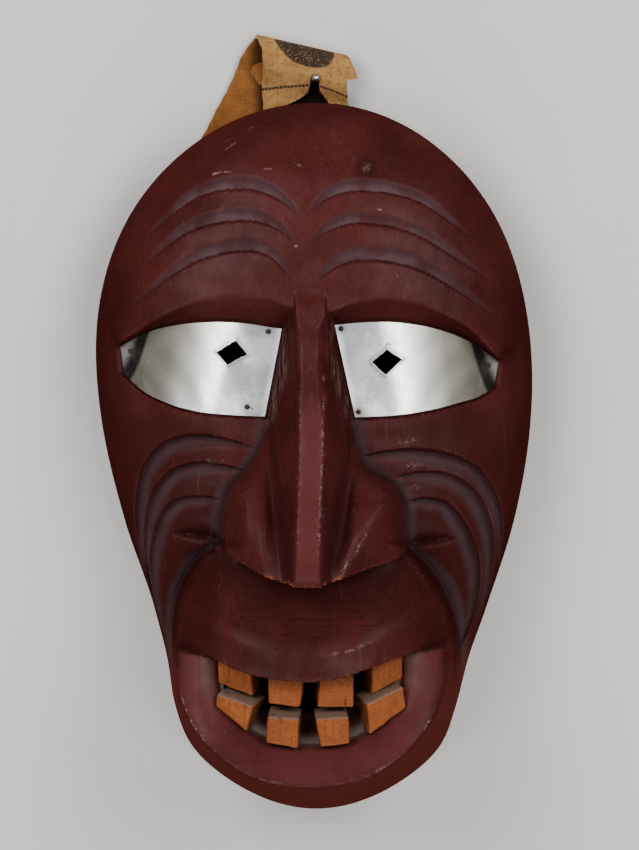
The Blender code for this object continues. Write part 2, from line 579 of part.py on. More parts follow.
def mouth_gap(collection):
    """Curved slot through the wall behind the teeth."""
    bm = bmesh.new()
    bmesh.ops.create_cube(bm, size=1)
    long_edges = [e for e in bm.edges if abs(e.verts[0].co.x - e.verts[1].co.x) > 0.5]
    bmesh.ops.subdivide_edges(bm, edges=long_edges, cuts=7, use_grid_fill=True)
    across, up = SLOT_MIDDLE
    low, high = SLOT_LEVELS
    for v in bm.verts:
        aside = v.co.x * SLOT_WIDTH
        level = (low + high) / 2 + (high - low) * v.co.z
        place = spot(across + aside, up + SLOT_BEND * aside ** 2, level * OUT)
        v.co = place + Vector((0, v.co.y * MOUTH_GAP_HEIGHT, 0))
    return as_cutter(new_object("mouth_gap", to_mesh(bm, "mouth_gap"), collection))


def strap_bend():
    """Side view of the strap as (back from the fold, up), from its lower end round to its upper end."""
    inside = STRAP_REACH + RIM_TAPER + WALL + STRAP_TAIL
    rise = STRAP_FOLD_HEIGHT - STRAP_LOW
    return smooth_path([
        (inside, STRAP_LOW), (inside - 0.012, STRAP_LOW), (STRAP_REACH + 0.006, STRAP_LOW),
        (0.64 * STRAP_REACH, STRAP_LOW + 0.04 * rise), (0.23 * STRAP_REACH, STRAP_LOW + 0.07 * rise),
        (0.055 * STRAP_REACH, STRAP_LOW + 0.19 * rise), (0.0, STRAP_LOW + 0.50 * rise),
        (0.055 * STRAP_REACH, STRAP_LOW + 0.84 * rise), (0.23 * STRAP_REACH, STRAP_FOLD_HEIGHT),
        (0.48 * STRAP_REACH, STRAP_LOW + 0.92 * rise), (0.69 * STRAP_REACH, STRAP_LOW + 0.62 * rise),
        (0.87 * STRAP_REACH, STRAP_HIGH + 0.10 * rise), (STRAP_REACH + 0.002, STRAP_HIGH + 0.01 * rise),
        (STRAP_REACH + 0.012, STRAP_HIGH), (inside - 0.004, STRAP_HIGH)], 4)


def fold_line():
    """Middle of the strap's fold, and the way it runs."""
    left, right = [spot(across, CROWN) + Vector((0, STRAP_REACH + past, 0)) for across, past in FOLD_ENDS]
    return (left + right) / 2, (right - left).normalized()


def hide_strap(collection, material, cutters):
    """One band that comes out under the crown, folds over and goes back in, slit below its pin."""
    bend = strap_bend()
    run = np.concatenate([[0], np.cumsum(np.hypot(*np.diff(bend, axis=0).T))])
    run -= run[int(np.argmin(bend[:, 0]))]
    middle, along = fold_line()
    back = Vector((along.y, -along.x, 0))
    rows, columns = 34, 6
    bm = bmesh.new()
    bmesh.ops.create_grid(bm, x_segments=columns, y_segments=rows, size=1)
    half = STRAP_WIDTH / 2 * math.hypot(1, STRAP_LEAN)
    torn = 0.83 * STRAP_REACH
    for v in bm.verts:
        n = run[0] + (v.co.y + 1) / 2 * (run[-1] - run[0])
        f = STRAP_LEAN * n + v.co.x * half
        if v.co.x > 0:
            f -= STRAP_TORN_EDGE * v.co.x * float(ease(torn, torn + 0.002, n))
        v.co = middle + along * f + back * float(np.interp(n, run, bend[:, 0]))
        v.co.z = float(np.interp(n, run, bend[:, 1]))
    for f in bm.faces:
        f.smooth = True
    strap = new_object("hide_strap", to_mesh(bm, "hide_strap"), collection, material)
    thick = strap.modifiers.new("thickness", "SOLIDIFY")
    thick.thickness = STRAP_THICKNESS
    thick.offset = 0
    bm = bmesh.new()
    bmesh.ops.create_cone(bm, cap_ends=True, segments=3, radius1=1, radius2=1, depth=1)
    top = pin_place()
    low, high = STRAP_LANE, STRAP_FOLD_HEIGHT + 2 * STRAP_THICKNESS
    for v in bm.verts:
        tip = v.co.y > 0.5
        side = 0.0 if tip else math.copysign(STRAP_SLIT_WIDTH / 2, v.co.x)
        v.co = (top.x + side, top.y + (PIN_SHANK_RADIUS * 3 if tip else -STRAP_SLIT_LENGTH),
                (low + high) / 2 + (high - low) * v.co.z)
    slit = as_cutter(new_object("strap_slit", to_mesh(bm, "strap_slit"), cutters))
    cut(strap, slit)


def pin_place():
    """Under the pin's head, on the strap's upper face."""
    place = spot(PIN_ACROSS, CROWN) + Vector((0, STRAP_REACH - PIN_SET_BACK, 0))
    place.z = STRAP_FOLD_HEIGHT + STRAP_THICKNESS / 2 + TOUCH_GAP
    return place


def box_cutter(name, low, high, collection):
    bm = bmesh.new()
    bmesh.ops.create_cube(bm, size=1)
    low, high = Vector(low), Vector(high)
    for v in bm.verts:
        v.co = (low + high) / 2 + Vector(c * s for c, s in zip(v.co, high - low))
    return as_cutter(new_object(name, to_mesh(bm, name), collection))


def centre_on_origin(parts, cutters):
    """Move everything so that the origin is under the middle of the whole object."""
    bpy.context.view_layer.update()
    corners = []
    for obj in parts.objects:
        seen = obj.evaluated_get(bpy.context.evaluated_depsgraph_get())
        corners += [seen.matrix_world @ Vector(corner) for corner in seen.bound_box]
    x, y = [(min(c[axis] for c in corners) + max(c[axis] for c in corners)) / 2 for axis in (0, 1)]
    for obj in list(parts.objects) + list(cutters.objects):
        obj.location -= Vector((x, y, 0))


def build():
    for obj in list(bpy.data.objects):
        bpy.data.objects.remove(obj)
    parts = bpy.data.collections.new("false_face_mask")
    cutters = bpy.data.collections.new("cutters")
    for collection in (parts, cutters):
        bpy.context.scene.collection.children.link(collection)

    wood = new_material("painted_wood", (0.095, 0.016, 0.014), 0.48)
    tin = new_material("sheet_metal", (0.62, 0.60, 0.56), 0.30, 1.0)
    iron = new_material("nail_iron", (0.16, 0.14, 0.12), 0.50, 1.0)
    hide = new_material("hide", (0.42, 0.24, 0.10), 0.85)
    steel = new_material("pin_steel", (0.55, 0.54, 0.55), 0.25, 1.0)

    mask = frozen(carved_block(parts), "mask", wood, parts)
    for v in mask.data.vertices:
        if v.co.z < TOUCH_GAP:
            v.co.z = 0

    for side in EYES:
        seat = plate_sheet(side, TOUCH_GAP, -TOUCH_GAP, PLATE_THICKNESS + 3 * TOUCH_GAP)
        seat = as_cutter(new_object(side + "_seat", to_mesh(seat, "seat"), cutters))
        cut(mask, seat)
        level = surface(*EYES[side]["hole"])
        bore = SIGHT_HOLE_WIDTH / 2 + EYE_BORE_MARGIN
        bm = bmesh.new()
        bmesh.ops.create_cone(bm, cap_ends=True, segments=20, radius1=bore,
                              radius2=bore * 0.8, depth=level)
        bmesh.ops.translate(bm, verts=bm.verts, vec=spot(*EYES[side]["hole"], level * 0.58))
        cut(mask, as_cutter(new_object(side + "_bore", to_mesh(bm, "bore"), cutters)))

        bm = plate_sheet(side, 0, 0, PLATE_THICKNESS)
        plate = new_object(side + "_eye_plate", to_mesh(bm, "plate"), parts, tin)
        hole = diamond(side, level - 0.01, level + 0.01)
        cut(plate, as_cutter(new_object(side + "_sight_hole", to_mesh(hole, "hole"), cutters)))
        for number, place in enumerate(EYES[side]["nails"], 1):
            level = float(smooth_line(PLATE_LEVEL, np.array(place[0]))) * OUT
            name = "%s_plate_nail_%d" % (side, number)
            pin = nail(NAIL_HEAD_RADIUS, NAIL_HEAD_HEIGHT, NAIL_SHANK_RADIUS, NAIL_LENGTH, name, iron, parts)
            pin.location = spot(*place, level + PLATE_THICKNESS + TOUCH_GAP)
            room = nail(NAIL_HEAD_RADIUS, NAIL_HEAD_HEIGHT, NAIL_SHANK_RADIUS + TOUCH_GAP,
                        NAIL_LENGTH + TOUCH_GAP, name + "_room", None, cutters)
            room.location = pin.location
            as_cutter(room)
            cut(mask, room)
            cut(plate, room)

    cut(mask, mouth_gap(cutters))
    for number, data in enumerate(UPPER_TEETH, 1):
        cut(mask, tooth(data, False, "upper_tooth_%d" % number, cutters), "UNION")
    for number, data in enumerate(LOWER_TEETH, 1):
        cut(mask, tooth(data, True, "lower_tooth_%d" % number, cutters), "UNION")

    crown = CROWN * UP
    inner_end = crown - RIM_TAPER - WALL - STRAP_TAIL - LANE_ROOM
    lane = box_cutter("strap_lane", (LANE_ENDS[0] * ACROSS, inner_end, -LANE_ROOM),
                      (LANE_ENDS[1] * ACROSS, crown + LANE_ROOM, STRAP_LANE), cutters)
    cut(mask, lane)
    hide_strap(parts, hide, cutters)
    pin = nail(PIN_HEAD_RADIUS, PIN_HEAD_RADIUS * 1.2, PIN_SHANK_RADIUS, PIN_LENGTH, "strap_pin", steel, parts)
    pin.location = pin_place()
    centre_on_origin(parts, cutters)


build()
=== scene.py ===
# The looks of a carved false face mask: painted wood, sheet-metal eyes, carved teeth and a hide strap.
# Metres, in the part's own frame: +Z out of the face, +Y to the crown, +X to the viewer's right.
import math

import bmesh
import bpy
import numpy as np
from mathutils import Matrix, Vector, noise


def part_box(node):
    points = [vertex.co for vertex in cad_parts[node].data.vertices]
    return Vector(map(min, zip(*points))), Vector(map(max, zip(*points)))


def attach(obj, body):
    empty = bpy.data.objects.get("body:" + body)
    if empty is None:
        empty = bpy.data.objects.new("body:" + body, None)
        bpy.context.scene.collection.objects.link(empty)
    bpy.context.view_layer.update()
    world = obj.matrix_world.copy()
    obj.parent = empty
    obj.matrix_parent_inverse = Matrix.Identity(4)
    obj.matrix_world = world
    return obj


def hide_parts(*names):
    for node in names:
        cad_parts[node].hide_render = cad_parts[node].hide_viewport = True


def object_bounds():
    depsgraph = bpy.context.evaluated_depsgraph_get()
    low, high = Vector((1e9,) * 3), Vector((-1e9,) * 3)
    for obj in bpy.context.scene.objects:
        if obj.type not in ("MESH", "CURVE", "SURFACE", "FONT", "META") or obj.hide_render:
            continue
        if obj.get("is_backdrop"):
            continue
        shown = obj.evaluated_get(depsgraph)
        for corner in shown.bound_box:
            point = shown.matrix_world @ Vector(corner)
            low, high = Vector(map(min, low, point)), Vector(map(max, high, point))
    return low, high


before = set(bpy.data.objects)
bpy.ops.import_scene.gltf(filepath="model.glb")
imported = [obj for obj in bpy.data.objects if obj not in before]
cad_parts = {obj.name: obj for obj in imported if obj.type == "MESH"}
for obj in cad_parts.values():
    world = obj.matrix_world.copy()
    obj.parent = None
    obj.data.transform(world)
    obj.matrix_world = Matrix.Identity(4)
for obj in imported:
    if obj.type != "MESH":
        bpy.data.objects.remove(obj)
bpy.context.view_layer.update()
print("frame loaded")

# Shares of the face's height are turned into metres with these, and faceOrigin is where its shares start
across, up, out = 0.29006, 0.29, 0.29016
faceOrigin = Vector((0.00078, -0.01495, 0))


# A socket that takes + - * / and **, so that shader maths reads as maths
class Value:
    def __init__(self, graph, socket):
        self.graph = graph
        self.socket = socket

    def __add__(self, other):
        return self.graph.maths("ADD", self, other)

    def __radd__(self, other):
        return self.graph.maths("ADD", other, self)

    def __sub__(self, other):
        return self.graph.maths("SUBTRACT", self, other)

    def __rsub__(self, other):
        return self.graph.maths("SUBTRACT", other, self)

    def __mul__(self, other):
        return self.graph.maths("MULTIPLY", self, other)

    def __rmul__(self, other):
        return self.graph.maths("MULTIPLY", other, self)

    def __truediv__(self, other):
        return self.graph.maths("DIVIDE", self, other)

    def __rtruediv__(self, other):
        return self.graph.maths("DIVIDE", other, self)

    def __pow__(self, other):
        return self.graph.maths("POWER", self, other)

    def __rpow__(self, other):
        return self.graph.maths("POWER", other, self)


# One material and the nodes in it
class Finish:
    def __init__(self, name):
        self.material = bpy.data.materials.new(name)
        self.material.use_nodes = True
        self.tree = self.material.node_tree
        self.shader = self.tree.nodes["Principled BSDF"]
        self.place = self.node("ShaderNodeTexCoord", out="Object")

    # Any node: its type, its settings, then the values or links of its sockets
    def node(self, kind, settings=None, values=None, out=0):
        made = self.tree.nodes.new(kind)
        for key, value in (settings or {}).items():
            setattr(made, key, value)
        for key, value in (values or {}).items():
            self.put(made.inputs[key], value)
        return Value(self, made.outputs[out])

    def put(self, socket, value):
        if isinstance(value, Value):
            self.tree.links.new(value.socket, socket)
        else:
            socket.default_value = value

    def maths(self, operation, a, b=0.0):
        return self.node("ShaderNodeMath", {"operation": operation}, {0: a, 1: b})

    def vector(self, operation, a, b=(0, 0, 0), out=0):
        second = "Scale" if operation == "SCALE" else 1
        return self.node("ShaderNodeVectorMath", {"operation": operation}, {0: a, second: b}, out)

    def clamp(self, a):
        return self.node("ShaderNodeClamp", None, {"Value": a})

    # 0 to 1 as the value goes from low to high
    def step(self, value, low, high):
        return self.node("ShaderNodeMapRange", {"interpolation_type": "SMOOTHSTEP"},
                         {"Value": value, "From Min": low, "From Max": high})

    # The node keeps the share between 0 and 1
    def mixed(self, share, a, b):
        a, b = [(*colour, 1) if isinstance(colour, tuple) else colour for colour in (a, b)]
        return self.node("ShaderNodeMix", {"data_type": "RGBA"}, {0: share, 6: a, 7: b}, 2)

    # Colours laid over one another: each is named in the colours, and has its share here
    def layered(self, under, colours, **shares):
        for name, share in shares.items():
            under = self.mixed(share, under, colours[name])
        return under

    def stretched(self, x, y, z, turn=0.0):
        return self.node("ShaderNodeMapping", None, {"Vector": self.place, "Scale": (x, y, z),
                                                     "Rotation": (0, 0, math.radians(turn))})

    def noise(self, place, scale, detail=3.0, roughness=0.55, distortion=0.0):
        return self.node("ShaderNodeTexNoise", None, {"Vector": place, "Scale": scale, "Detail": detail,
                                                      "Roughness": roughness, "Distortion": distortion})

    # Round spots: 1 in the middle of some cells, with the share of cells that have one
    def spots(self, place, scale, radius, share):
        cells = {"Vector": place, "Scale": scale}
        away = self.node("ShaderNodeTexVoronoi", None, cells, "Distance")
        colour = self.node("ShaderNodeTexVoronoi", None, cells, "Color")
        chance = self.node("ShaderNodeSeparateColor", None, {0: colour}, 0)
        return (1 - self.step(away, radius * 0.5, radius)) * self.step(chance, 1 - share, 1.01 - share)

    # How far the place is from a point in the face's plane, or from a line between two
    def away(self, place, a, b=None):
        offset = self.vector("SUBTRACT", place, (*a, 0))
        if b:
            run = Vector((*b, 0)) - Vector((*a, 0))
            share = self.vector("DOT_PRODUCT", offset, tuple(run / run.length_squared), "Value")
            offset = self.vector("SUBTRACT", offset, self.vector("SCALE", tuple(run), self.clamp(share)))
        return self.vector("LENGTH", offset, out="Value")

    def attributes(self, *names):
        return [self.node("ShaderNodeAttribute", {"attribute_name": name}, out="Fac") for name in names]

    def bump(self, height, distance, strength=1.0, normal=None):
        values = {"Height": height, "Distance": distance, "Strength": strength}
        if normal:
            values["Normal"] = normal
        return self.node("ShaderNodeBump", None, values)

    def finish(self, **sockets):
        for name, value in sockets.items():
            self.put(self.shader.inputs[name.replace("_", " ")], value)
        return self.material


# Mesh helpers
def added(name, mesh, *materials):
    piece = bpy.data.objects.new(name, mesh)
    bpy.context.scene.collection.objects.link(piece)
    for material in materials:
        mesh.materials.append(material)
    return piece


def meshOf(bm, name):
    mesh = bpy.data.meshes.new(name)
    bm.to_mesh(mesh)
    bm.free()
    return mesh


# The mesh that a piece's modifiers leave, in place of the piece's own
def applied(piece):
    bpy.context.view_layer.update()
    seen = piece.evaluated_get(bpy.context.evaluated_depsgraph_get())
    mesh = bpy.data.meshes.new_from_object(seen)
    piece.modifiers.clear()
    piece.data = mesh
    return piece


def cutAway(piece, cutter):
    cutting = piece.modifiers.new("cut", "BOOLEAN")
    cutting.solver = "EXACT"
    cutting.object = cutter
    applied(piece)
    bpy.data.objects.remove(cutter)


def coordinates(mesh):
    flat = np.empty(len(mesh.vertices) * 3, np.float32)
    mesh.vertices.foreach_get("co", flat)
    return flat.reshape(-1, 3).astype(float)


def moveTo(mesh, points):
    mesh.vertices.foreach_set("co", np.asarray(points, np.float32).ravel())
    mesh.update()


def paintValue(mesh, name, values):
    layer = mesh.attributes.new(name, "FLOAT", "POINT")
    layer.data.foreach_set("value", np.asarray(values, np.float32))


def smooth(mesh, degrees):
    mesh.shade_smooth()
    mesh.set_sharp_from_angle(angle=math.radians(degrees))


def closed(bm):
    bmesh.ops.remove_doubles(bm, verts=bm.verts, dist=1e-6)
    bmesh.ops.recalc_face_normals(bm, faces=bm.faces)


# A prism over an outline, and its corners
def prism(bm, outline, height):
    edge = [bm.verts.new(corner) for corner in outline]
    made = bmesh.ops.extrude_face_region(bm, geom=[bm.faces.new(edge)])["geom"]
    fresh = [v for v in made if isinstance(v, bmesh.types.BMVert)]
    bmesh.ops.translate(bm, vec=(0, 0, height), verts=fresh)
    return edge + fresh


def cutter(bm, name, place=(0, 0, 0)):
    bmesh.ops.translate(bm, vec=place, verts=bm.verts)
    bmesh.ops.recalc_face_normals(bm, faces=bm.faces)
    return added(name, meshOf(bm, name))


# A flat sheet's mesh, and its places from -1 to 1 each way
def flatSheet(name, columns, rows):
    bm = bmesh.new()
    bmesh.ops.create_grid(bm, x_segments=columns, y_segments=rows, size=1)
    mesh = meshOf(bm, name)
    return mesh, coordinates(mesh)


def thicken(piece, **settings):
    sheet = piece.modifiers.new("thickness", "SOLIDIFY")
    for name, value in settings.items():
        setattr(sheet, name, value)
    applied(piece)


def dressed(piece, slot, *nodes):
    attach(piece, "root")
    if nodes:
        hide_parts(*nodes)
    return piece


# A place in metres from shares across and up
def spot(p, q, height=0.0):
    return Vector((p * across, q * up, height)) + faceOrigin


# The carved face's lines, in thousandths of its height
lines = {
    # Fullness of the egg outline on each side, and height of its edge, from the chin to the crown
    "leftFullness": [(-1000, 300), (-850, 313), (-720, 286), (-600, 262), (-450, 256), (-200, 276), (100, 306),
        (400, 336), (700, 359), (1000, 370)],
    "rightFullness": [(-1000, 305), (-850, 314), (-720, 284), (-600, 267), (-450, 269), (-200, 286), (100, 306),
        (400, 325), (700, 344), (1000, 356)],
    "edgeHeight": [(-1000, 165), (-750, 138), (-500, 102), (-150, 78), (1000, 74)],
    # Lines across the face: (across, up), and (across, out) for the level of the plates
    "browEdge": [(-300, 150), (-271, 174), (-228, 205), (-182, 231), (-142, 243), (-102, 248), (-66, 244),
        (-36, 232), (-8, 222), (26, 228), (54, 238), (94, 242), (134, 237), (179, 218), (217, 193), (253, 152),
        (300, 110)],
    "plateTop": [(-300, 145), (-270, 169), (-230, 192), (-192, 203), (-143, 209), (-98, 208), (-48, 201),
        (27, 206), (59, 209), (119, 208), (160, 200), (213, 178), (254, 147), (300, 105)],
    "plateBottom": [(-300, 155), (-268, 123), (-247, 106), (-205, 87), (-164, 78), (-123, 75), (-71, 73),
        (55, 72), (120, 75), (160, 80), (202, 89), (231, 96), (246, 104), (300, 160)],
    "plateLevel": [(-300, 118), (-270, 141), (-230, 166), (-192, 187), (-143, 205), (-98, 212), (-48, 213),
        (30, 213), (70, 212), (119, 207), (160, 196), (213, 172), (254, 144), (300, 108)],
    "lipCrease": [(-200, -172), (-169, -194), (-126, -214), (-86, -228), (-48, -236), (-9, -239), (23, -236),
        (68, -224), (117, -205), (157, -186), (195, -165)],
    "lipEdge": [(-205, -238), (-185, -243), (-142, -253), (-109, -264), (-61, -273), (-15, -277), (23, -274),
        (68, -262), (121, -248), (175, -238), (200, -234)],
    "noseBottom": [(-160, -96), (-131, -102), (-102, -113), (-70, -126), (-34, -134), (-3, -136), (26, -130),
        (68, -120), (100, -116), (127, -109), (160, -100)],
    # Lines up the face: (up, across) or (up, out)
    "cheekLevel": [(-400, 180), (-300, 186), (-200, 196), (-100, 206), (0, 212), (70, 216), (300, 220)],
    "ridgeMiddle": [(-140, -12), (-67, -10), (72, -6), (240, -8)],
    "ridgeHalf": [(-140, 17), (-67, 15), (72, 15.5), (200, 19), (240, 20.5)],
    "ridgeLevel": [(-140, 366), (-128, 376), (-105, 384), (-67, 383), (0, 361), (72, 334), (150, 302),
        (200, 280), (239, 257), (262, 246)],
    "noseFootLeft": [(-140, 124), (-102, 125), (-52, 122), (-21, 114), (2, 92), (26, 77), (67, 66), (133, 50),
        (200, 40), (239, 26)],
    "noseFootRight": [(-140, 138), (-83, 137), (-28, 127), (-13, 113), (6, 81), (34, 66), (75, 59), (137, 44),
        (206, 35), (239, 26)],
    "steepFoot": [(-140, 66), (-40, 70), (26, 70), (70, 62), (133, 48), (200, 38), (239, 26)],
    # Lines from the nose's ridge: (aside, up) or (aside, out)
    "wingArris": [(0, -128), (36, -121), (50, -103), (60, -82), (78, -62), (100, -36), (113, -26), (140, -22)],
    "wingLevel": [(0, 366), (40, 351), (75, 325), (107, 291), (125, 268), (140, 250)],
    # The muzzle's sides: (up, across)
    "muzzleLeft": [(-420, 230), (-340, 204), (-316, 198), (-259, 199), (-211, 197), (-175, 188), (-137, 169),
        (-111, 149), (-100, 130), (-85, 90)],
    "muzzleRight": [(-420, 230), (-340, 212), (-302, 200), (-254, 197), (-211, 188), (-175, 174), (-137, 151),
        (-114, 132), (-100, 118), (-85, 90)],
    # Levels of the upper lip and of the jaw: (aside, out)
    "lipLevel": [(0, 325), (50, 317), (90, 299), (125, 271), (155, 239), (180, 212), (205, 186)],
    "jawLevel": [(0, 345), (60, 334), (105, 312), (140, 285), (168, 250), (185, 216), (210, 178)],
}

# Gouges: how deep, the share of their width above the valley, how hollow, and each one's line and width
gouges = {
    "forehead": {"depth": 0.0078, "above": 0.86, "power": 1.15, "cuts": [
        ([(-24, 357), (-60, 380), (-104, 389), (-165, 375), (-234, 321)], 0.022),
        ([(-30, 320), (-65, 342), (-110, 347), (-175, 330), (-240, 279)], 0.02),
        ([(-37, 273), (-62, 299), (-100, 307), (-170, 288), (-261, 222)], 0.021),
        ([(-12, 357), (20, 379), (65, 387), (140, 371), (216, 319)], 0.02),
        ([(-10, 318), (24, 337), (66, 344), (140, 326), (241, 260)], 0.019),
        ([(-1, 265), (30, 287), (72, 295), (150, 277), (257, 206)], 0.024)]},
    "cheek": {"depth": 0.0138, "above": 0.26, "power": 1.45, "cuts": [
        ([(-84, 32), (-120, 41), (-155, 45), (-190, 40), (-218, 24), (-240, -10), (-250, -60), (-250, -115),
          (-243, -165)], 0.03),
        ([(-99, 0), (-130, 5), (-164, 6), (-200, -8), (-225, -40), (-238, -85), (-239, -140),
          (-231, -195)], 0.03),
        ([(-132, -41), (-160, -41), (-193, -48), (-216, -74), (-229, -115), (-233, -160), (-226, -205),
          (-213, -255)], 0.03),
        ([(63, 20), (100, 25), (140, 25), (182, 16), (218, -2), (245, -36), (260, -85), (258, -150)], 0.032),
        ([(108, -10), (145, -6), (181, -11), (212, -30), (234, -62), (247, -115), (243, -175),
          (224, -240)], 0.032),
        ([(122, -45), (152, -43), (181, -53), (205, -85), (223, -130), (227, -175), (219, -220),
          (203, -266)], 0.032)]},
    "fold": {"depth": 0.0095, "above": 0.6, "power": 1.6, "cuts": [
        ([(-116, -106), (-160, -95), (-200, -94)], 0.03),
        ([(116, -110), (157, -102), (200, -100)], 0.028)]},
    "muzzle": {"depth": 0.012, "above": 0.7, "power": 1.15, "cuts": [
        ([(-128, -104), (-152, -114), (-173, -138), (-191, -172), (-201, -212), (-204, -262),
          (-202, -310)], 0.022),
        ([(127, -108), (154, -134), (178, -172), (194, -212), (203, -256), (207, -305)], 0.03)]},
}

# The face's other measures, as shares of its height
form = {
    "outlineMiddle": 0.005, "outlineHalf": 0.495, "foreheadLevel": 0.262, "sillRise": 0.005,
    # Steepness of the nose: its sides' foot, and the fall over the wings, at the foot, below and above
    "noseSideFoot": 0.205, "wingSlope": 0.92, "noseFootSlope": 3.2, "noseUnderSlope": 7.0, "bridgeTop": 0.236,
    "bridgeSlope": 0.62, "upperLipSlope": 0.48, "lowerLipDrop": 0.047, "mouthDepth": 0.038,
    "mouthCentre": (-0.008, -0.27), "mouthInner": (0.1305, 0.102), "mouthStep": 0.011,
    "mouthOuter": (0.183, 0.145),
    # Slot behind the teeth: its middle (across, up), width, bend, and where it starts and ends out
    "slotMiddle": (-0.01, -0.306), "slotWidth": 0.236, "slotBend": 1.7, "slotLevels": (0.07, 0.27),
    # Hollow: its roof, and the room for the wearer's nose and mouth as (depth, middle up, across, up)
    "hollowLevel": 0.172, "noseRoom": (0.05, -0.02, 0.16, 0.3), "mouthRoom": (0.04, -0.6, 0.4, 0.22),
    # Teeth: the front's corners (across, up) clockwise from its top left, its level, its turn outwards
    "upperTeeth": [
        ([(-0.1362, -0.243), (-0.0906, -0.259), (-0.088, -0.3042), (-0.1363, -0.2897)], 0.266, -19),
        ([(-0.0657, -0.266), (-0.0164, -0.273), (-0.0219, -0.3155), (-0.0658, -0.3106)], 0.295, -4),
        ([(0.0055, -0.27), (0.0521, -0.258), (0.0521, -0.3162), (0.0014, -0.3154)], 0.295, 4),
        ([(0.0783, -0.249), (0.1211, -0.238), (0.1198, -0.2826), (0.077, -0.3029)], 0.266, 19)],
    "lowerTeeth": [
        ([(-0.1373, -0.2993), (-0.0863, -0.3135), (-0.0961, -0.3505), (-0.1388, -0.3176)], 0.288, -19),
        ([(-0.067, -0.3256), (-0.0232, -0.3277), (-0.0246, -0.3697), (-0.0684, -0.362)], 0.311, -4),
        ([(0.0, -0.3277), (0.0452, -0.3256), (0.0466, -0.3634), (0.0055, -0.3683)], 0.311, 4),
        ([(0.0699, -0.3108), (0.1209, -0.2895), (0.1251, -0.3192), (0.0742, -0.3544)], 0.288, 19)],
    "toothChamfer": 0.004,
}

# Eyes: sight hole's middle and corners (in halves of its width and height), plate edges and nails
eyes = {
    "left": {"hole": (-0.116, 0.164),
             "corners": [(-1.0, 0.02), (-0.3, -0.95), (1.0, -0.1), (0.28, 1.0)],
             "inner": [(-0.048, 0.203), (-0.0715, 0.07)],
             "outer": [(-0.2735, 0.175), (-0.2685, 0.11)],
             "nails": [(-0.0655, 0.194), (-0.095, 0.0895), (-0.258, 0.159)]},
    "right": {"hole": (0.098, 0.151),
              "corners": [(-1.0, 0.03), (-0.1, -1.0), (1.0, 0.2), (0.0, 1.0)],
              "inner": [(0.027, 0.209), (0.055, 0.069)],
              "outer": [(0.255, 0.16), (0.249, 0.09)],
              "nails": [(0.0345, 0.198), (0.0585, 0.0825), (0.24, 0.1395)]}}


# One of the lines as a smooth curve: its value at x
def curve(name, x):
    px, py = np.array(lines[name], float).T / 1000
    slope = np.gradient(py, px)
    i = np.clip(np.searchsorted(px, x) - 1, 0, len(px) - 2)
    step = px[i + 1] - px[i]
    s = np.clip((x - px[i]) / step, 0, 1)
    return ((1 + 2 * s) * (1 - s) ** 2 * py[i] + s * (1 - s) ** 2 * step * slope[i]
            + s * s * (3 - 2 * s) * py[i + 1] + s * s * (s - 1) * step * slope[i + 1])


# Points along a smooth curve through the given ones
def smoothPath(points, pieces=6):
    p = np.array(points, float)
    ends = np.vstack([2 * p[0] - p[1], p, 2 * p[-1] - p[-2]])
    out = []
    for a, b, c, d in zip(ends, ends[1:], ends[2:], ends[3:]):
        for t in np.arange(pieces) / pieces:
            out.append(0.5 * (2 * b + (c - a) * t + (2 * a - 5 * b + 4 * c - d) * t ** 2
                              + (3 * b - a - 3 * c + d) * t ** 3))
    return np.array(out + [p[-1]])


# The lower of two heights, with a soft edge where they meet
def lowerOf(a, b, soft):
    t = np.clip(0.5 + 0.5 * (b - a) / soft, 0, 1)
    return b + (a - b) * t - soft * t * (1 - t)


def higherOf(a, b, soft):
    return -lowerOf(-a, -b, soft)


def ease(low, high, x):
    t = np.clip((x - low) / (high - low), 0, 1)
    return t * t * (3 - 2 * t)


# 0 to 1, straight between and slightly rounded at both ends
def ramp(x, soft=0.1):
    return lowerOf(higherOf(x, np.zeros_like(x), soft), np.ones_like(x), soft)


def fullness(x, y):
    left = curve("leftFullness", y)
    right = curve("rightFullness", y)
    return np.where(x < 0, left, right)


# Depth of a tapered V-gouge whose valley follows a line
def gouge(p, q, line, width, depth, above, power=1.15):
    path = smoothPath(np.array(line) / 1000)
    near = ((p > path[:, 0].min() - width) & (p < path[:, 0].max() + width)
            & (q > path[:, 1].min() - width) & (q < path[:, 1].max() + width))
    cut = np.zeros_like(p)
    x, y = p[near], q[near]
    best = np.full(x.shape, 1.0)
    along = np.zeros(x.shape)
    side = np.zeros(x.shape)
    outward = 1.0 if path[-1, 0] > path[0, 0] else -1.0
    for i, (a, b) in enumerate(zip(path[:-1], path[1:])):
        d = b - a
        t = np.clip(((x - a[0]) * d[0] + (y - a[1]) * d[1]) / (d @ d), 0, 1)
        ex, ey = x - a[0] - t * d[0], y - a[1] - t * d[1]
        away = np.hypot(ex, ey)
        nearer = away < best
        best = np.where(nearer, away, best)
        along = np.where(nearer, (i + t) / (len(path) - 1), along)
        side = np.where(nearer, np.sign(outward * (d[0] * ey - d[1] * ex)), side)
    taper = np.sin(np.pi * np.clip(along, 0, 1)) ** 0.6
    reach = width * np.maximum(taper, 0.02) * np.where(side > 0, above, 1 - above)
    cut[near] = depth * taper * np.clip(1 - best / reach, 0, 1) ** power
    return cut


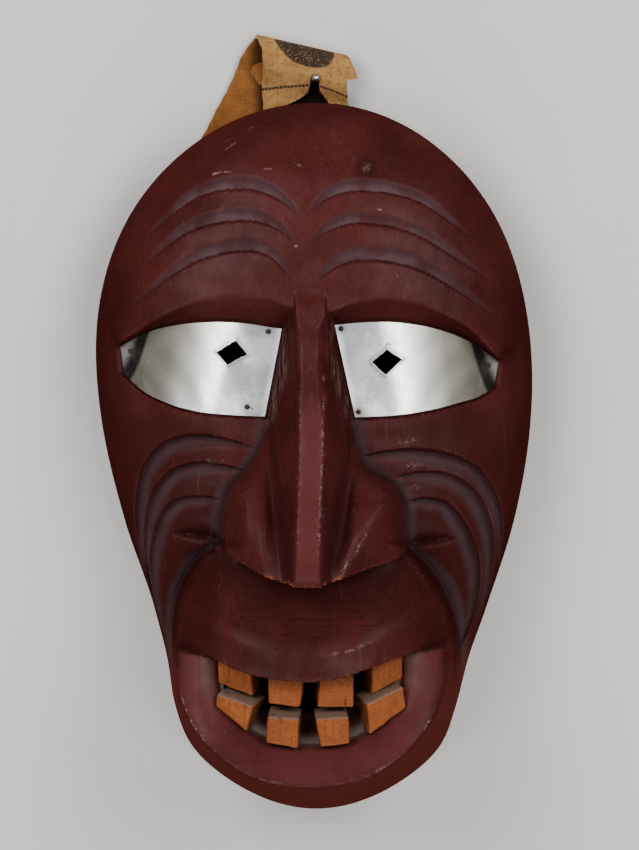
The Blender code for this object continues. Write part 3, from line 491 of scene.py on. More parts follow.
# Flat-ridged nose with fluted sides and wings that end in an arris
def nose(p, q, base):
    middle = curve("ridgeMiddle", q)
    d = np.abs(p - middle)
    ridge = curve("ridgeLevel", q)
    half = curve("ridgeHalf", q)
    foot = np.where(p < middle, curve("noseFootLeft", q), curve("noseFootRight", q))
    steep = curve("steepFoot", q)
    side = ridge - (ridge - form["noseSideFoot"]) * (d - half) / (steep - half)
    over = q - curve("wingArris", d)
    wing = curve("wingLevel", d) - form["wingSlope"] * higherOf(over, 0 * q, np.where(p < middle, 0.05, 0.012))
    side = higherOf(side, wing, 0.04)
    top = lowerOf(ridge + 0 * d, side, 0.004)
    top = lowerOf(top, base + form["noseFootSlope"] * (foot - d), 0.03)
    below = curve("noseBottom", p) - q
    top = np.where(below > 0, top - form["noseUnderSlope"] * below, top)
    above = q - form["bridgeTop"]
    top = np.where(above > 0, top - form["bridgeSlope"] * above, top)
    inside = (d < foot + 0.004) & (q < 0.275)
    return np.where(inside, higherOf(base, top, 0.002 + 0.014 * ease(0.17, 0.235, q)), base)


# 1 on a rounded ring under the mouth, less inside it
def mouthRing(p, q, halfSizes, power):
    across = np.abs(p - form["mouthCentre"][0]) / halfSizes[0]
    down = np.maximum(form["mouthCentre"][1] - q, 0) / halfSizes[1]
    return (across ** power + down ** power) ** (1 / power)


# Upper lip, mouth recess, lower lip and chin
def muzzle(p, q, roundness, edge):
    d = np.hypot(p - form["mouthCentre"][0], 0.02) - 0.02
    lip = curve("lipLevel", d)
    upper = lip - form["upperLipSlope"] * higherOf(q - curve("lipCrease", p), 0 * q, 0.006)
    jaw = curve("jawLevel", d)
    inner = mouthRing(p, q, form["mouthInner"], 2.25)
    outer = mouthRing(p, q, form["mouthOuter"], 2.1)
    band = np.clip((1 - outer) / np.maximum(1 - outer + inner - 1, 1e-4), 0, 1)
    lower = jaw - form["lowerLipDrop"] * band
    deep = form["mouthStep"] + (form["mouthDepth"] - form["mouthStep"]) * ease(0.02, 0.4, 1 - inner)
    floor = jaw - form["lowerLipDrop"] - deep * ramp((1 - inner) / 0.03)
    lower = np.where(inner < 1, floor, lower)
    fall = np.clip((outer - 1) / np.maximum(outer - 1 + 2.2 * (1 - roundness), 1e-4), 0, 1)
    chin = edge + (jaw - edge) * (1 - fall ** 1.4) ** 0.8
    lower = np.where(outer > 1, chin, lower)
    upper = lowerOf(upper, np.where(outer > 1, chin, jaw + 0.02), 0.008)
    return lower + (upper - lower) * ramp((q - curve("lipEdge", p)) / 0.004 + 0.5)


# How far a place is past the outer end of an eye plate
def pastPlate(side, p, q):
    (topP, topQ), (lowP, lowQ) = eyes[side]["outer"]
    end = topP + (lowP - topP) * (topQ - q) / (topQ - lowQ)
    return end - p if side == "left" else p - end


# Height of the carved face over the rim, in shares, at a place in shares
def faceHeight(p, q):
    y = (q - form["outlineMiddle"]) / form["outlineHalf"]
    x = p / fullness(p, np.clip(y, -1, 1))
    r = np.clip(np.hypot(x, y), 0, 1)
    edge = curve("edgeHeight", y)
    swell = (1 - r ** 3) ** 0.5
    forehead = edge + (form["foreheadLevel"] - edge) * swell
    cheek = edge + (curve("cheekLevel", q) - edge) * swell
    top = curve("plateTop", p)
    bottom = curve("plateBottom", p)
    brow = curve("browEdge", p)
    level = curve("plateLevel", p)
    sill = level + form["sillRise"]
    cheek = cheek + (sill - cheek) * ease(bottom - 0.1, bottom, q) * ease(0.99, 0.93, r)
    under = level + (forehead - level) * ramp((q - top) / np.maximum(brow - top, 0.006))
    aside = cheek + (forehead - cheek) * ease(bottom, bottom + 0.1, q)
    past = np.maximum(pastPlate("left", p, q), pastPlate("right", p, q))
    sunk = (1 - ease(-0.004, 0.036, past)) * ease(top + 0.014, top - 0.006, q) * ease(bottom - 0.02, bottom, q)
    aside = aside - np.maximum(aside - sill, 0) * sunk
    opened = np.minimum(under, forehead)
    opened = opened + (aside - opened) * ease(-0.001, 0.007 + 0.08 * ease(top + 0.01, top + 0.08, q), past)
    face = np.where(q > bottom, np.where(top > bottom, opened, aside), cheek)
    for group in gouges.values():
        for line, width in group["cuts"]:
            face = face - gouge(p, q, line, width, group["depth"], group["above"], group["power"])
    side = np.where(p < form["mouthCentre"][0], curve("muzzleLeft", q), curve("muzzleRight", q))
    inside = ramp((side - np.abs(p)) / 0.007) * ease(-0.08, -0.1, q)
    face = face + (muzzle(p, q, r, edge) - face) * inside
    return nose(p, q, face)


# Height of the hollow's roof over the rim, at a place on the unit disc
def hollowHeight(x, y):
    r = np.clip(np.hypot(x, y), 0, 1)
    roof = form["hollowLevel"] * (1 - r ** 3) ** 0.5
    for depth, middle, wide, tall in (form["noseRoom"], form["mouthRoom"]):
        roof = roof + depth * np.exp(-(x / wide) ** 2 - ((y - middle) / tall) ** 2) * (1 - r ** 6)
    return roof


mask = {
    "cells": 540,              # squares across the carved front before it is thinned
    "backCells": 140,
    "triangles": 194000,
    "rimTaper": 0.006,
    "wall": 0.011,
    "boreRadius": 0.0094,
    "slotHeight": 0.0145,
    "laneFrom": -0.21, "laneTo": 0.066, "laneRoof": 0.005,
    "ripple": 0.0006,          # unevenness of the knife work, in shares
    "hollowRipple": 0.0035,
    "socketDrop": 0.0028,      # the eye sockets' floor lies this far under the plates, in shares
    # Paint from the ground up, then what wears, dusts and marks it, and the painted shade, light, sheen and
    # highlights
    "darkRed": (0.037, 0.008, 0.007), "red": (0.078, 0.0152, 0.014),
    "clouds": (0.088, 0.027, 0.029), "pores": (0.024, 0.005, 0.0042), "specks": (0.14, 0.038, 0.038),
    "ridge": (0.115, 0.026, 0.028), "cheek": (0.036, 0.0072, 0.006), "chin": (0.105, 0.0225, 0.019),
    "lip": (0.105, 0.027, 0.03), "shade": (0.024, 0.0062, 0.0056), "strokes": (0.018, 0.0055, 0.0052),
    "crescent": (0.1, 0.056, 0.062), "crescentDark": (0.05, 0.029, 0.034),
    "dust": (0.064, 0.038, 0.042), "hollow": (0.018, 0.0068, 0.0066), "worn": (0.3, 0.11, 0.098),
    "gleam": (0.46, 0.3, 0.3), "streak": (0.24, 0.165, 0.155), "mouth": (0.125, 0.094, 0.08),
    "corner": (0.125, 0.094, 0.08), "tip": (0.3, 0.08, 0.026), "nick": (0.3, 0.16, 0.14),
    "scratch": (0.14, 0.052, 0.05), "scraped": (0.36, 0.23, 0.22), "crackDark": (0.008, 0.003, 0.003),
    "knotDark": (0.016, 0.0055, 0.005), "knotPale": (0.26, 0.15, 0.13), "mouthDark": (0.01, 0.006, 0.005),
    "backDark": (0.16, 0.078, 0.034), "backWood": (0.23, 0.12, 0.055),
    # Painted highlights on the cheeks' folds and the nose: the middle, the size and how bright they are
    "gleams": [((0.1256, 0.0413), (0.0095, 0.004), 0.85), ((0.1327, 0.0059), (0.012, 0.0026), 0.65),
               ((0.1398, -0.0241), (0.008, 0.0022), 0.45), ((-0.1396, 0.0129), (0.017, 0.0032), 0.5),
               ((-0.1468, -0.0158), (0.013, 0.0024), 0.35), ((0.0109, 0.1388), (0.0026, 0.0022), 0.9)],
    "lipGleams": (-0.18, -0.162, -0.06, 0.085, 0.155),
    "wingGleam": ((0.0665, -0.072), (0.03, -0.128)),
    # Scratches and pale nicks: both ends, the width in metres and how strong they are
    "scratches": [((-0.1399, 0.4421), (-0.0749, 0.4761), 0.0003, 0.4),
                  ((-0.1299, 0.4361), (-0.1078, 0.451), 0.0003, 0.45),
                  ((-0.0426, 0.4406), (-0.0137, 0.4145), 0.0003, 0.55),
                  ((-0.0356, 0.4276), (-0.0219, 0.4198), 0.00035, 0.5),
                  ((-0.1418, 0.4059), (-0.131, 0.41), 0.0005, 0.85),
                  ((-0.131, 0.41), (-0.1154, 0.4106), 0.00042, 0.65),
                  ((-0.0741, 0.4167), (-0.0603, 0.4155), 0.0004, 0.6),
                  ((-0.03, 0.453), (0.006, 0.438), 0.00022, 0.35),
                  ((0.086, 0.3612), (0.089, 0.3606), 0.00045, 0.85),
                  ((0.1096, 0.2765), (0.1116, 0.2715), 0.00045, 0.85),
                  ((-0.028, 0.3137), (-0.0264, 0.3137), 0.00055, 0.7),
                  ((0.178, 0.365), (0.215, 0.33), 0.00022, 0.35)],
    "shake": 0.001,           # how far the scratches wander, in metres
    "crack": ((-0.1417, -0.0856), (-0.1412, -0.1129), 0.00034),
    "knot": (0.0686, 0.4171),
}


# Slow waves in three directions, for the unevenness of knife work
def waves(p, q):
    return (np.sin(41 * p + 63 * q + 1.3) * np.sin(57 * p - 38 * q + 0.4)
            + 0.6 * np.sin(118 * p + 47 * q) * np.sin(96 * q - 71 * p + 2.1)
            + 0.4 * np.sin(23 * p + 171 * q + 0.7))


# 1 on the floor of the eye sockets
def inSocket(p, q, height):
    low = ease(-0.001, 0.002, q - curve("plateBottom", p))
    floor = low * ease(0.001, -0.001, q - curve("plateTop", p))
    past = np.maximum(pastPlate("left", p, q), pastPlate("right", p, q))
    return floor * ease(0.001, -0.002, past) * ease(0.008, 0.003, height - curve("plateLevel", p))


def maskShape():
    bm = bmesh.new()
    cells = mask["cells"]
    bmesh.ops.create_grid(bm, x_segments=cells, y_segments=cells, size=1)
    ring = [e for e in bm.edges if e.is_boundary]
    rings = 5
    for level in range(1, rings + 1):
        made = bmesh.ops.extrude_edge_only(bm, edges=ring)["geom"]
        ring = [e for e in made if isinstance(e, bmesh.types.BMEdge) and e.is_boundary]
        for v in {v for e in ring for v in e.verts}:
            v.co.z = -level
    backCells = mask["backCells"]
    inner = bmesh.ops.create_grid(bm, x_segments=backCells, y_segments=backCells, size=1)["verts"]
    for v in inner:
        v.co.z = -rings - 1
    bmesh.ops.reverse_faces(bm, faces=list({f for v in inner for f in v.link_faces}))
    innerRing = list({e for v in inner for e in v.link_edges if e.is_boundary})
    bmesh.ops.bridge_loops(bm, edges=ring + innerRing)
    mesh = meshOf(bm, "mask")

    flat = coordinates(mesh)
    u, v, level = flat[:, 0], flat[:, 1], -flat[:, 2]
    x = u * np.sqrt(1 - v * v / 2)
    y = v * np.sqrt(1 - u * u / 2)
    spread = 1.25 - 0.25 * np.hypot(x, y) ** 4
    x, y = x * spread, y * spread
    share = np.clip(level / rings, 0, 1)
    isInner = level > rings + 0.5
    inset = np.where(isInner, mask["rimTaper"] + mask["wall"], mask["rimTaper"] * share ** 1.5)
    q = form["outlineMiddle"] + y * (form["outlineHalf"] - inset / up)
    p = x * (fullness(x, y) - inset / across)
    front = faceHeight(p, q)
    socket = inSocket(p, q, front)
    front = front + mask["ripple"] * waves(p, q) * ease(1.0, 0.9, np.hypot(x, y)) * (1 - socket)
    front = front - mask["socketDrop"] * socket
    gouged = hollowHeight(x, y) + mask["hollowRipple"] * waves(p * 0.7, q * 0.35) * (1 - np.hypot(x, y) ** 2)
    wall = curve("edgeHeight", y) * (1 - share)
    height = np.where(level < 0.5, front, np.where(isInner, gouged, wall))
    moveTo(mesh, np.column_stack([p * across, q * up, height * out]) + np.array(faceOrigin))
    piece = added("carved_mask", mesh)
    thin = piece.modifiers.new("thin", "DECIMATE")
    thin.ratio = min(1, mask["triangles"] / (2 * cells ** 2 + 2 * backCells ** 2 + 48 * cells))
    applied(piece)
    bm = bmesh.new()
    bm.from_mesh(piece.data)
    bmesh.ops.recalc_face_normals(bm, faces=bm.faces)
    bm.to_mesh(piece.data)
    bm.free()
    return piece


# The slot behind the teeth, the eye bores and the strap's lane, as one cutter
def maskCutter():
    bm = bmesh.new()
    bmesh.ops.create_cube(bm, size=1)
    longEdges = [e for e in bm.edges if abs(e.verts[0].co.x - e.verts[1].co.x) > 0.5]
    bmesh.ops.subdivide_edges(bm, edges=longEdges, cuts=15, use_grid_fill=True)
    middle, level = form["slotMiddle"], form["slotLevels"]
    for v in bm.verts:
        aside = v.co.x * form["slotWidth"]
        height = (level[0] + level[1]) / 2 + (level[1] - level[0]) * v.co.z
        v.co = spot(middle[0] + aside, middle[1] + form["slotBend"] * aside ** 2, height * out) + Vector(
            (0, v.co.y * mask["slotHeight"], 0))
    for side in eyes:
        p, q = eyes[side]["hole"]
        place = spot(p, q, 0.037)
        bmesh.ops.create_cone(bm, cap_ends=True, segments=40, radius1=mask["boreRadius"],
                              radius2=mask["boreRadius"] * 0.8, depth=0.06, matrix=Matrix.Translation(place))
    crown = (form["outlineMiddle"] + form["outlineHalf"]) * up + faceOrigin.y
    low = Vector((mask["laneFrom"] * across + faceOrigin.x, crown - 0.038, -0.01))
    high = Vector((mask["laneTo"] * across + faceOrigin.x, crown + 0.01, mask["laneRoof"]))
    size = high - low
    bmesh.ops.create_cube(bm, size=1, matrix=Matrix.Translation((low + high) / 2) @ Matrix.Diagonal((*size, 1)))
    return cutter(bm, "mask_cutter")


# How deep a place lies in any of a group's gouges, 0 to 1
def cutBy(group, p, q, narrowed, above, gain=1.0):
    depths = [gouge(p, q, line, width * narrowed, 1.0, above) for line, width in gouges[group]["cuts"]]
    return np.clip(gain * np.max(depths, axis=0), 0, 1)


# What is where on the mask: dust in the gouges, worn arrises, the lip's inner band, painted shade and highlights
# and so on
def maskMarks(piece):
    points = coordinates(piece.data)
    p = (points[:, 0] - faceOrigin.x) / across
    q = (points[:, 1] - faceOrigin.y) / up
    y = (q - form["outlineMiddle"]) / form["outlineHalf"]
    r = np.hypot(p / fullness(p, np.clip(y, -1, 1)), y)
    height = faceHeight(p, q)
    sunkBy = height * out - points[:, 2]
    onFront = np.clip(1.6 - sunkBy / 0.0035, 0, 1)
    painted = (sunkBy < 0.0015) | ((1 - r) * 0.1 < 0.0085)
    normals = np.empty(len(points) * 3, np.float32)
    piece.data.vertices.foreach_get("normal", normals)
    upward = normals[2::3].astype(float)
    bend = np.zeros_like(p)
    turns = np.arange(6) * math.pi / 3
    for reach in (0.0035, 0.008):
        around = sum(faceHeight(p + reach * math.cos(a), q + reach * math.sin(a)) for a in turns)
        bend += (height - around / 6) / reach

    fromMiddle = np.abs(p)
    aside = np.abs(p - form["mouthCentre"][0])
    inner = mouthRing(p, q, form["mouthInner"], 2.25)
    outer = mouthRing(p, q, form["mouthOuter"], 2.1)
    belowLip = curve("lipEdge", p) - q
    inMouth = (aside < 0.2) & (belowLip > 0.001)
    overCrease = q - curve("lipCrease", p)
    underNose = curve("noseBottom", p) - q
    ridge = curve("ridgeMiddle", q)
    fromRidge = np.abs(p - ridge)
    pastRidge = fromRidge - curve("ridgeHalf", q)
    toFoot = np.where(p < ridge, curve("noseFootLeft", q), curve("noseFootRight", q)) - fromRidge

    valley = cutBy("forehead", p, q, 0.9, 0.96)
    crescent = np.clip(4.5 * valley, 0, 1) * (1 - 0.55 * ease(0.13, 0.26, fromMiddle))
    dust = np.max([
        cutBy("cheek", p, q, 0.8, 0.12, 2.2), cutBy("muzzle", p, q, 0.74, 0.97, 2.2),
        0.9 * ease(0.1, 0.07, q) * ease(-0.115, -0.09, q) * ease(0.012, 0.002, np.abs(toFoot + 0.004)),
    ], axis=0)
    nick = cutBy("fold", p, q, 0.9, 0.6, 2.0)
    lipLine = np.exp(-(belowLip / 0.0035) ** 2) * ease(0.105, 0.135, aside) * ease(0.188, 0.17, aside)
    shade = ease(0.11, 0.0, underNose) + 0.9 * ease(0.034, 0.004, underNose)
    shade = shade * (underNose > 0) * ease(0.19, 0.11, fromMiddle)
    smoothTop = 1 - 0.9 * ease(0.205, 0.225, q) * ease(0.07, 0.04, fromMiddle)
    smoothTop *= 1 - 0.9 * ease(0.225, 0.25, fromMiddle) * ease(0.05, 0.09, q)

    # Painted highlights: along the nose ridge's arrises, the lip crease, the lower lip's arris and the right
    # wing's arris, and on spots on the cheeks' folds and the nose
    lipBand = sum(np.exp(-((p - at) / 0.012) ** 2) for at in mask["lipGleams"])
    (ax, ay), (bx, by) = mask["wingGleam"]
    t = np.clip(((p - ax) * (bx - ax) + (q - ay) * (by - ay)) / ((bx - ax) ** 2 + (by - ay) ** 2), 0, 1)
    gleams = [
        np.where(p < ridge, 0.35, 1.0) * ease(0.0017, 0.0003, np.abs(pastRidge)) * ease(0.125, 0.105, q)
        * ease(-0.078, -0.06, q),
        ease(0.0024, 0.0006, np.abs(overCrease)) * (
            0.05 * (fromMiddle < 0.14) + 0.45 * ease(0.0, 0.03, p) * ease(0.078, 0.066, p)),
        ease(0.013, 0.003, np.abs(outer - 1)) * (q < -0.27) * (0.03 + 0.62 * lipBand),
        ease(0.0035, 0.001, np.hypot(p - ax - t * (bx - ax), q - ay - t * (by - ay)))]
    gleams += [share * np.exp(-((p - atP) / wide) ** 2 - ((q - atQ) / tall) ** 2)
               for (atP, atQ), (wide, tall), share in mask["gleams"]]

    marks = {
        "painted": painted,
        "dust": dust * onFront,
        "gleam": np.max(gleams, axis=0) * painted,
        "arris": np.clip((bend - 0.32) * 2.5, 0, 1) * painted * ease(0.94, 0.86, r),
        # painted shade: darker in the carving's concave creases
        "hollow": np.clip((-bend - 0.04) * 4, 0, 1) * painted * ease(0.98, 0.93, r) * (1 - crescent) * smoothTop,
        "crescent": crescent * onFront,
        "valley": valley,
        "facing": ease(0.6, 0.92, upward),
        "lipSlope": ease(0.006, 0.02, overCrease) * ease(0.0, 0.02, underNose) * ease(0.21, 0.16, fromMiddle),
        "shade": np.maximum(shade, 1.5 * nick + 1.6 * lipLine),
        "corner": inMouth * ease(-0.315, -0.285, q) * np.exp(-((aside - 0.142) / 0.012) ** 2),
        "mouth": inMouth * np.clip((1 - inner) / 0.05, 0, 1) * ease(0.8, 0.92, inner),
        "lip": inMouth * np.clip((inner - 1) / 0.04, 0, 1) * np.clip((1 - outer) / 0.04, 0, 1),
        "tip": ease(0.009, 0.002, np.abs(underNose - 0.001)) * ease(0.07, 0.03, fromRidge)
        * ease(0.2, 0.5, upward),
        "ridge": ease(0.004, -0.001, pastRidge) * ease(0.13, 0.08, q) * (q > -0.14),
        "streak": ease(0.0, 0.004, toFoot) * np.exp(-((toFoot - 0.006) / 0.008) ** 2)
        * ease(0.056, 0.09, q) * ease(0.215, 0.19, q),
        # painted shadow: near-black deep in the mouth and the slot behind the teeth
        "deep": inMouth * (inner < 1.02) * np.maximum(
            np.clip(sunkBy / 0.004, 0, 1), 0.75 * ease(0.93, 0.74, inner)),
        # painted shade: darker on the cheeks below the eyes and on the face's outer sides
        "cheek": ease(0.3, 0.2, q) * ease(-0.3, -0.22, q) * np.maximum(
            ease(0.12, 0.15, fromMiddle) * ease(0.09, 0.05, q), ease(0.24, 0.28, fromMiddle)),
        # painted light: a lighter red on the chin's outer face, which faces down
        "chin": ease(-0.22, -0.34, q) * ease(0.99, 1.06, outer),
    }
    for name, values in marks.items():
        paintValue(piece.data, name, values)


def paintedWood():
    f = Finish("painted_wood")
    painted, dust, gleam, arris, hollow, crescent, valley, facing, lipSlope, shade = f.attributes(
        "painted", "dust", "gleam", "arris", "hollow", "crescent", "valley", "facing", "lipSlope", "shade")
    corner, mouth, lip, tip, ridge, streak, deep, cheek, chin = f.attributes(
        "corner", "mouth", "lip", "tip", "ridge", "streak", "deep", "cheek", "chin")
    grain = f.noise(f.stretched(1, 0.11, 0.5, 4), 900, 4, 0.6)
    fine = f.noise(f.stretched(1, 0.05, 0.5, 3), 2600, 2, 0.5)
    mottle = f.noise(f.place, 26, 4, 0.6)
    cloud = f.noise(f.place, 34, 5, 0.7)
    speckle = f.noise(f.place, 1500, 3, 0.7)
    patch = f.noise(f.place, 90, 3, 0.55)
    tool = f.step(f.noise(f.stretched(0.07, 1, 1, 3), 900, 4, 0.6), 0.54, 0.64)
    streaks = f.step(f.noise(f.stretched(1, 0.035, 0.1, 6), 1500, 3, 0.6), 0.4, 0.66)
    nicks = f.spots(f.stretched(1, 0.6, 1, 30), 160, 0.06, 0.05)
    scratch = f.step(f.noise(f.stretched(1, 0.035, 1, 52), 420, 2, 0.5), 0.635, 0.665) * f.step(
        f.noise(f.place, 38, 2, 0.5), 0.53, 0.66)
    dusty = f.clamp(dust * (0.62 + 0.5 * f.step(patch, 0.3, 0.65)) * (0.75 + 0.5 * f.step(speckle, 0.3, 0.7)))
    # The painted highlight, broken up; it also makes the paint a little less rough there
    glossy = 0.15 + 0.85 * f.step(f.noise(f.place, 300, 3, 0.6), 0.44, 0.58)
    bright = gleam * f.step(speckle, 0.46, 0.6) * glossy
    wall = f.mixed(f.step(valley + 0.3 * (speckle - 0.5) + 0.5 * (patch - 0.5), 0.2, 0.85),
                   mask["crescentDark"], mask["crescent"])

    # Lilac haze in patches, and painted sheen: lighter where the faces turn upwards
    clouds = (0.25 + 0.75 * facing) * f.step(cloud, 0.44, 0.64) * (1 - lipSlope) * (1 - cheek)
    red = f.mixed(f.step(mottle, 0.3, 0.68) * 0.75 + f.step(grain, 0.3, 0.7) * 0.25, mask["darkRed"],
                  mask["red"])
    red = f.layered(red, mask,
                    clouds=clouds * 0.5,
                    pores=f.step(fine + 0.5 * (speckle - 0.5), 0.5, 0.62) * 0.42,
                    specks=f.step(speckle + 0.5 * (fine - 0.5), 0.58, 0.72) * 0.36,
                    ridge=ridge * 0.5,
                    # painted shade on the cheeks and the face's sides
                    cheek=cheek * 0.8,
                    # painted light on the chin
                    chin=chin * 0.75,
                    lip=lip * (0.28 + 0.3 * f.step(mottle, 0.35, 0.6)),
                    shade=shade * 0.42,
                    strokes=lipSlope * tool * 0.42)
    red = f.mixed(crescent * (0.55 + 0.6 * f.step(patch, 0.35, 0.65)) * 0.82, red, wall)
    red = f.layered(red, mask,
                    dust=dusty * 0.84,
                    # painted shade in the concave creases
                    hollow=hollow * 0.34,
                    worn=arris * f.step(speckle, 0.52, 0.66) * f.step(patch, 0.4, 0.6) * 0.32,
                    gleam=bright * 0.9,
                    streak=streak * streaks * f.step(patch, 0.36, 0.62) * 0.62,
                    mouth=mouth * f.step(patch + speckle * 0.3, 0.4, 0.7) * 0.9,
                    corner=corner * f.step(patch + speckle * 0.4, 0.4, 0.8) * 0.4,
                    tip=tip * f.step(f.noise(f.place, 420, 2, 0.5), 0.54, 0.6),
                    nick=nicks * 0.5,
                    scratch=scratch * 0.22)

    flat = f.vector("MULTIPLY", f.place, (1, 1, 0))
    aside = f.node("ShaderNodeTexNoise", None, {"Vector": flat, "Scale": 240}, "Color")
    shaken = f.vector("ADD", flat, f.vector("SCALE", aside, mask["shake"]))
    middle = Vector((0.5, 0.5)) * mask["shake"]
    rubbed = f.step(speckle, 0.25, 0.48)
    for a, b, width, strength in mask["scratches"]:
        line = f.away(shaken, spot(*a).xy + middle, spot(*b).xy + middle)
        red = f.layered(red, mask, scraped=(1 - f.step(line, width * 0.6, width * 1.8)) * rubbed * strength)
    a, b, width = mask["crack"]
    crack = 1 - f.step(f.away(flat, spot(*a).xy, spot(*b).xy), width * 0.5, width)
    knot = f.away(shaken, spot(*mask["knot"]).xy + middle)
    rings = f.step(f.maths("SINE", knot * 5200 + 3 * (patch - 0.5)), -0.3, 0.8)
    red = f.layered(red, mask,
                    crackDark=crack * 0.55,
                    knotDark=(1 - f.step(knot, 0.0026, 0.0062)) * (0.45 + 0.35 * rings),
                    knotPale=(1 - f.step(knot, 0.0012, 0.0026)) * f.step(speckle, 0.52, 0.62) * 0.8)
    bare = f.mixed(f.step(f.noise(f.stretched(1, 0.06, 1, 2), 260, 4, 0.6), 0.35, 0.65), mask["backDark"],
                   mask["backWood"])
    # near-black painted shadow deep in the mouth
    colour = f.layered(f.mixed(painted, bare, red), mask, mouthDark=deep)
    rough = f.clamp(0.42 + 0.18 * patch + 0.3 * dusty - 0.06 * ridge + 0.2 * (1 - painted) - 0.15 * bright)
    relief = grain * 0.1 + fine * 0.07 + speckle * 0.05
    relief = relief - scratch * 0.1 - nicks * 0.25 - crack - lipSlope * tool * 0.3
    chisel = f.node("ShaderNodeTexVoronoi", {"feature": "SMOOTH_F1"}, {
        "Vector": f.stretched(1, 1.9, 1, 12), "Scale": 85, "Smoothness": 0.35}, "Distance")
    gloss = f.clamp(facing * painted * (1 - 0.8 * dusty) * (1 - crescent) * (1 - 0.9 * lipSlope) * 0.15)
    normal = f.bump(relief, 0.0009, 0.55, f.bump(chisel, 0.0012, 0.16))
    return f.finish(Base_Color=colour, Roughness=rough, Normal=normal, Specular_IOR_Level=0.0, Coat_Weight=gloss,
                    Coat_Roughness=0.38)


carvedMask = maskShape()
cutAway(carvedMask, maskCutter())
maskMarks(carvedMask)
smooth(carvedMask.data, 32)
carvedMask.data.materials.append(paintedWood())
dressed(carvedMask, "painted_wood", "mask")
print("mask carved:", len(carvedMask.data.polygons), "faces")


teeth = {
    "depth": 0.016,
    "bevel": 0.0012,
    "knife": 0.00042,          # unevenness of their faces
    "orange": (0.32, 0.084, 0.017),
    "brown": (0.105, 0.026, 0.008),
    "shade": (0.066, 0.023, 0.009),
    "grey": (0.175, 0.118, 0.084),
    "pale": (0.48, 0.19, 0.07),
    "strokes": (0.19, 0.046, 0.011),
    "crack": (0.045, 0.014, 0.006),
}


def toothBlock(data, isLower):
    corners, front, turn = data
    middle = sum(p for p, q in corners) / 4
    aslant = math.tan(math.radians(turn))
    bm = bmesh.new()
    bmesh.ops.create_cube(bm, size=1)
    cornerAt = ((3, 2), (0, 1))      # low and high ones, each from left to right
    for v in bm.verts:
        p, q = corners[cornerAt[v.co.y > 0][v.co.x > 0]]
        place = spot(p, q, front * out - (p - middle) * across * aslant)
        if v.co.z < 0:
            place += Vector((-aslant, 0, -1)).normalized() * teeth["depth"]
            place.y += form["toothChamfer"] * up if isLower and v.co.y > 0 else 0
        v.co = place
    bmesh.ops.bevel(bm, geom=list(bm.edges), offset=teeth["bevel"], segments=3, profile=0.55,
                    affect="EDGES", material=-1)
    bmesh.ops.subdivide_edges(bm, edges=list(bm.edges), cuts=5, use_grid_fill=True)
    bmesh.ops.recalc_face_normals(bm, faces=bm.faces)
    bm.normal_update()
    (leftX, leftY), (rightX, rightY) = [spot(*corners[i]).xy for i in (3, 2)]
    marks = []
    for v in bm.verts:
        grey = max(0.0, v.normal.y) if isLower else 0.0
        bottom = leftY + (rightY - leftY) * (v.co.x - leftX) / (rightX - leftX)
        low = max(0.0, 1 - (v.co.y - bottom) / 0.0016) * max(0.0, v.normal.z)
        tucked = 0.0 if isLower else min(1.0, max(0.0, (v.co.y - bottom - 0.0075) / 0.005))
        marks.append((grey, max(0.0, 1 - abs(v.normal.z) - grey), low, tucked))
    for v in bm.verts:
        v.co += v.normal * teeth["knife"] * noise.noise(v.co * 260)
    mesh = meshOf(bm, "tooth")
    for name, values in zip(("grey", "side", "low", "tucked"), zip(*marks)):
        paintValue(mesh, name, values)
    return mesh


def bareTooth():
    f = Finish("bare_tooth_wood")
    grain = f.noise(f.stretched(0.1, 1, 1, -6), 1500, 4, 0.6)
    mottle = f.noise(f.place, 150, 3, 0.6)
    speckle = f.noise(f.place, 1300, 3, 0.7)
    crack = f.step(f.noise(f.stretched(1, 0.12, 1, 6), 430, 2, 0.5), 0.66, 0.7)
    pores = f.step(f.noise(f.stretched(1, 0.35, 1, 4), 1700, 3, 0.65), 0.56, 0.66)
    strokes = f.step(f.noise(f.stretched(1, 0.1, 0.3, 5), 700, 3, 0.6), 0.47, 0.62)
    grey, side, low, tucked = f.attributes("grey", "side", "low", "tucked")
    wood = f.mixed(f.step(mottle, 0.3, 0.7) * 0.6 + f.step(grain, 0.35, 0.65) * 0.4, teeth["brown"],
                   teeth["orange"])
    wood = f.layered(wood, teeth,
                     orange=0.4,
                     pale=f.step(speckle, 0.54, 0.7) * 0.4,
                     brown=pores * 0.45,
                     strokes=strokes * 0.45,
                     shade=f.step(side, 0.22, 0.75) * 0.82)
    wood = f.layered(wood, teeth,
                     shade=tucked * 0.6,
                     grey=f.step(grey + 0.5 * (speckle - 0.5), 0.25, 0.65) * (0.7 + 0.4 * mottle),
                     crack=crack * 0.75,
                     pale=f.step(low, 0.3, 0.7) * f.step(speckle, 0.38, 0.55) * 0.6)
    normal = f.bump(grain * 0.5 + speckle * 0.3 - crack * 0.6, 0.0008, 0.5)
    return f.finish(Base_Color=wood, Roughness=f.clamp(0.62 + 0.2 * speckle), Normal=normal,
                    Specular_IOR_Level=0.2)


bm = bmesh.new()
for row in ("upperTeeth", "lowerTeeth"):
    for data in form[row]:
        bm.from_mesh(toothBlock(data, row == "lowerTeeth"))
carvedTeeth = added("carved_teeth", meshOf(bm, "carved_teeth"), bareTooth())
smooth(carvedTeeth.data, 40)
dressed(carvedTeeth, "painted_wood", "mask")
print("teeth cut")


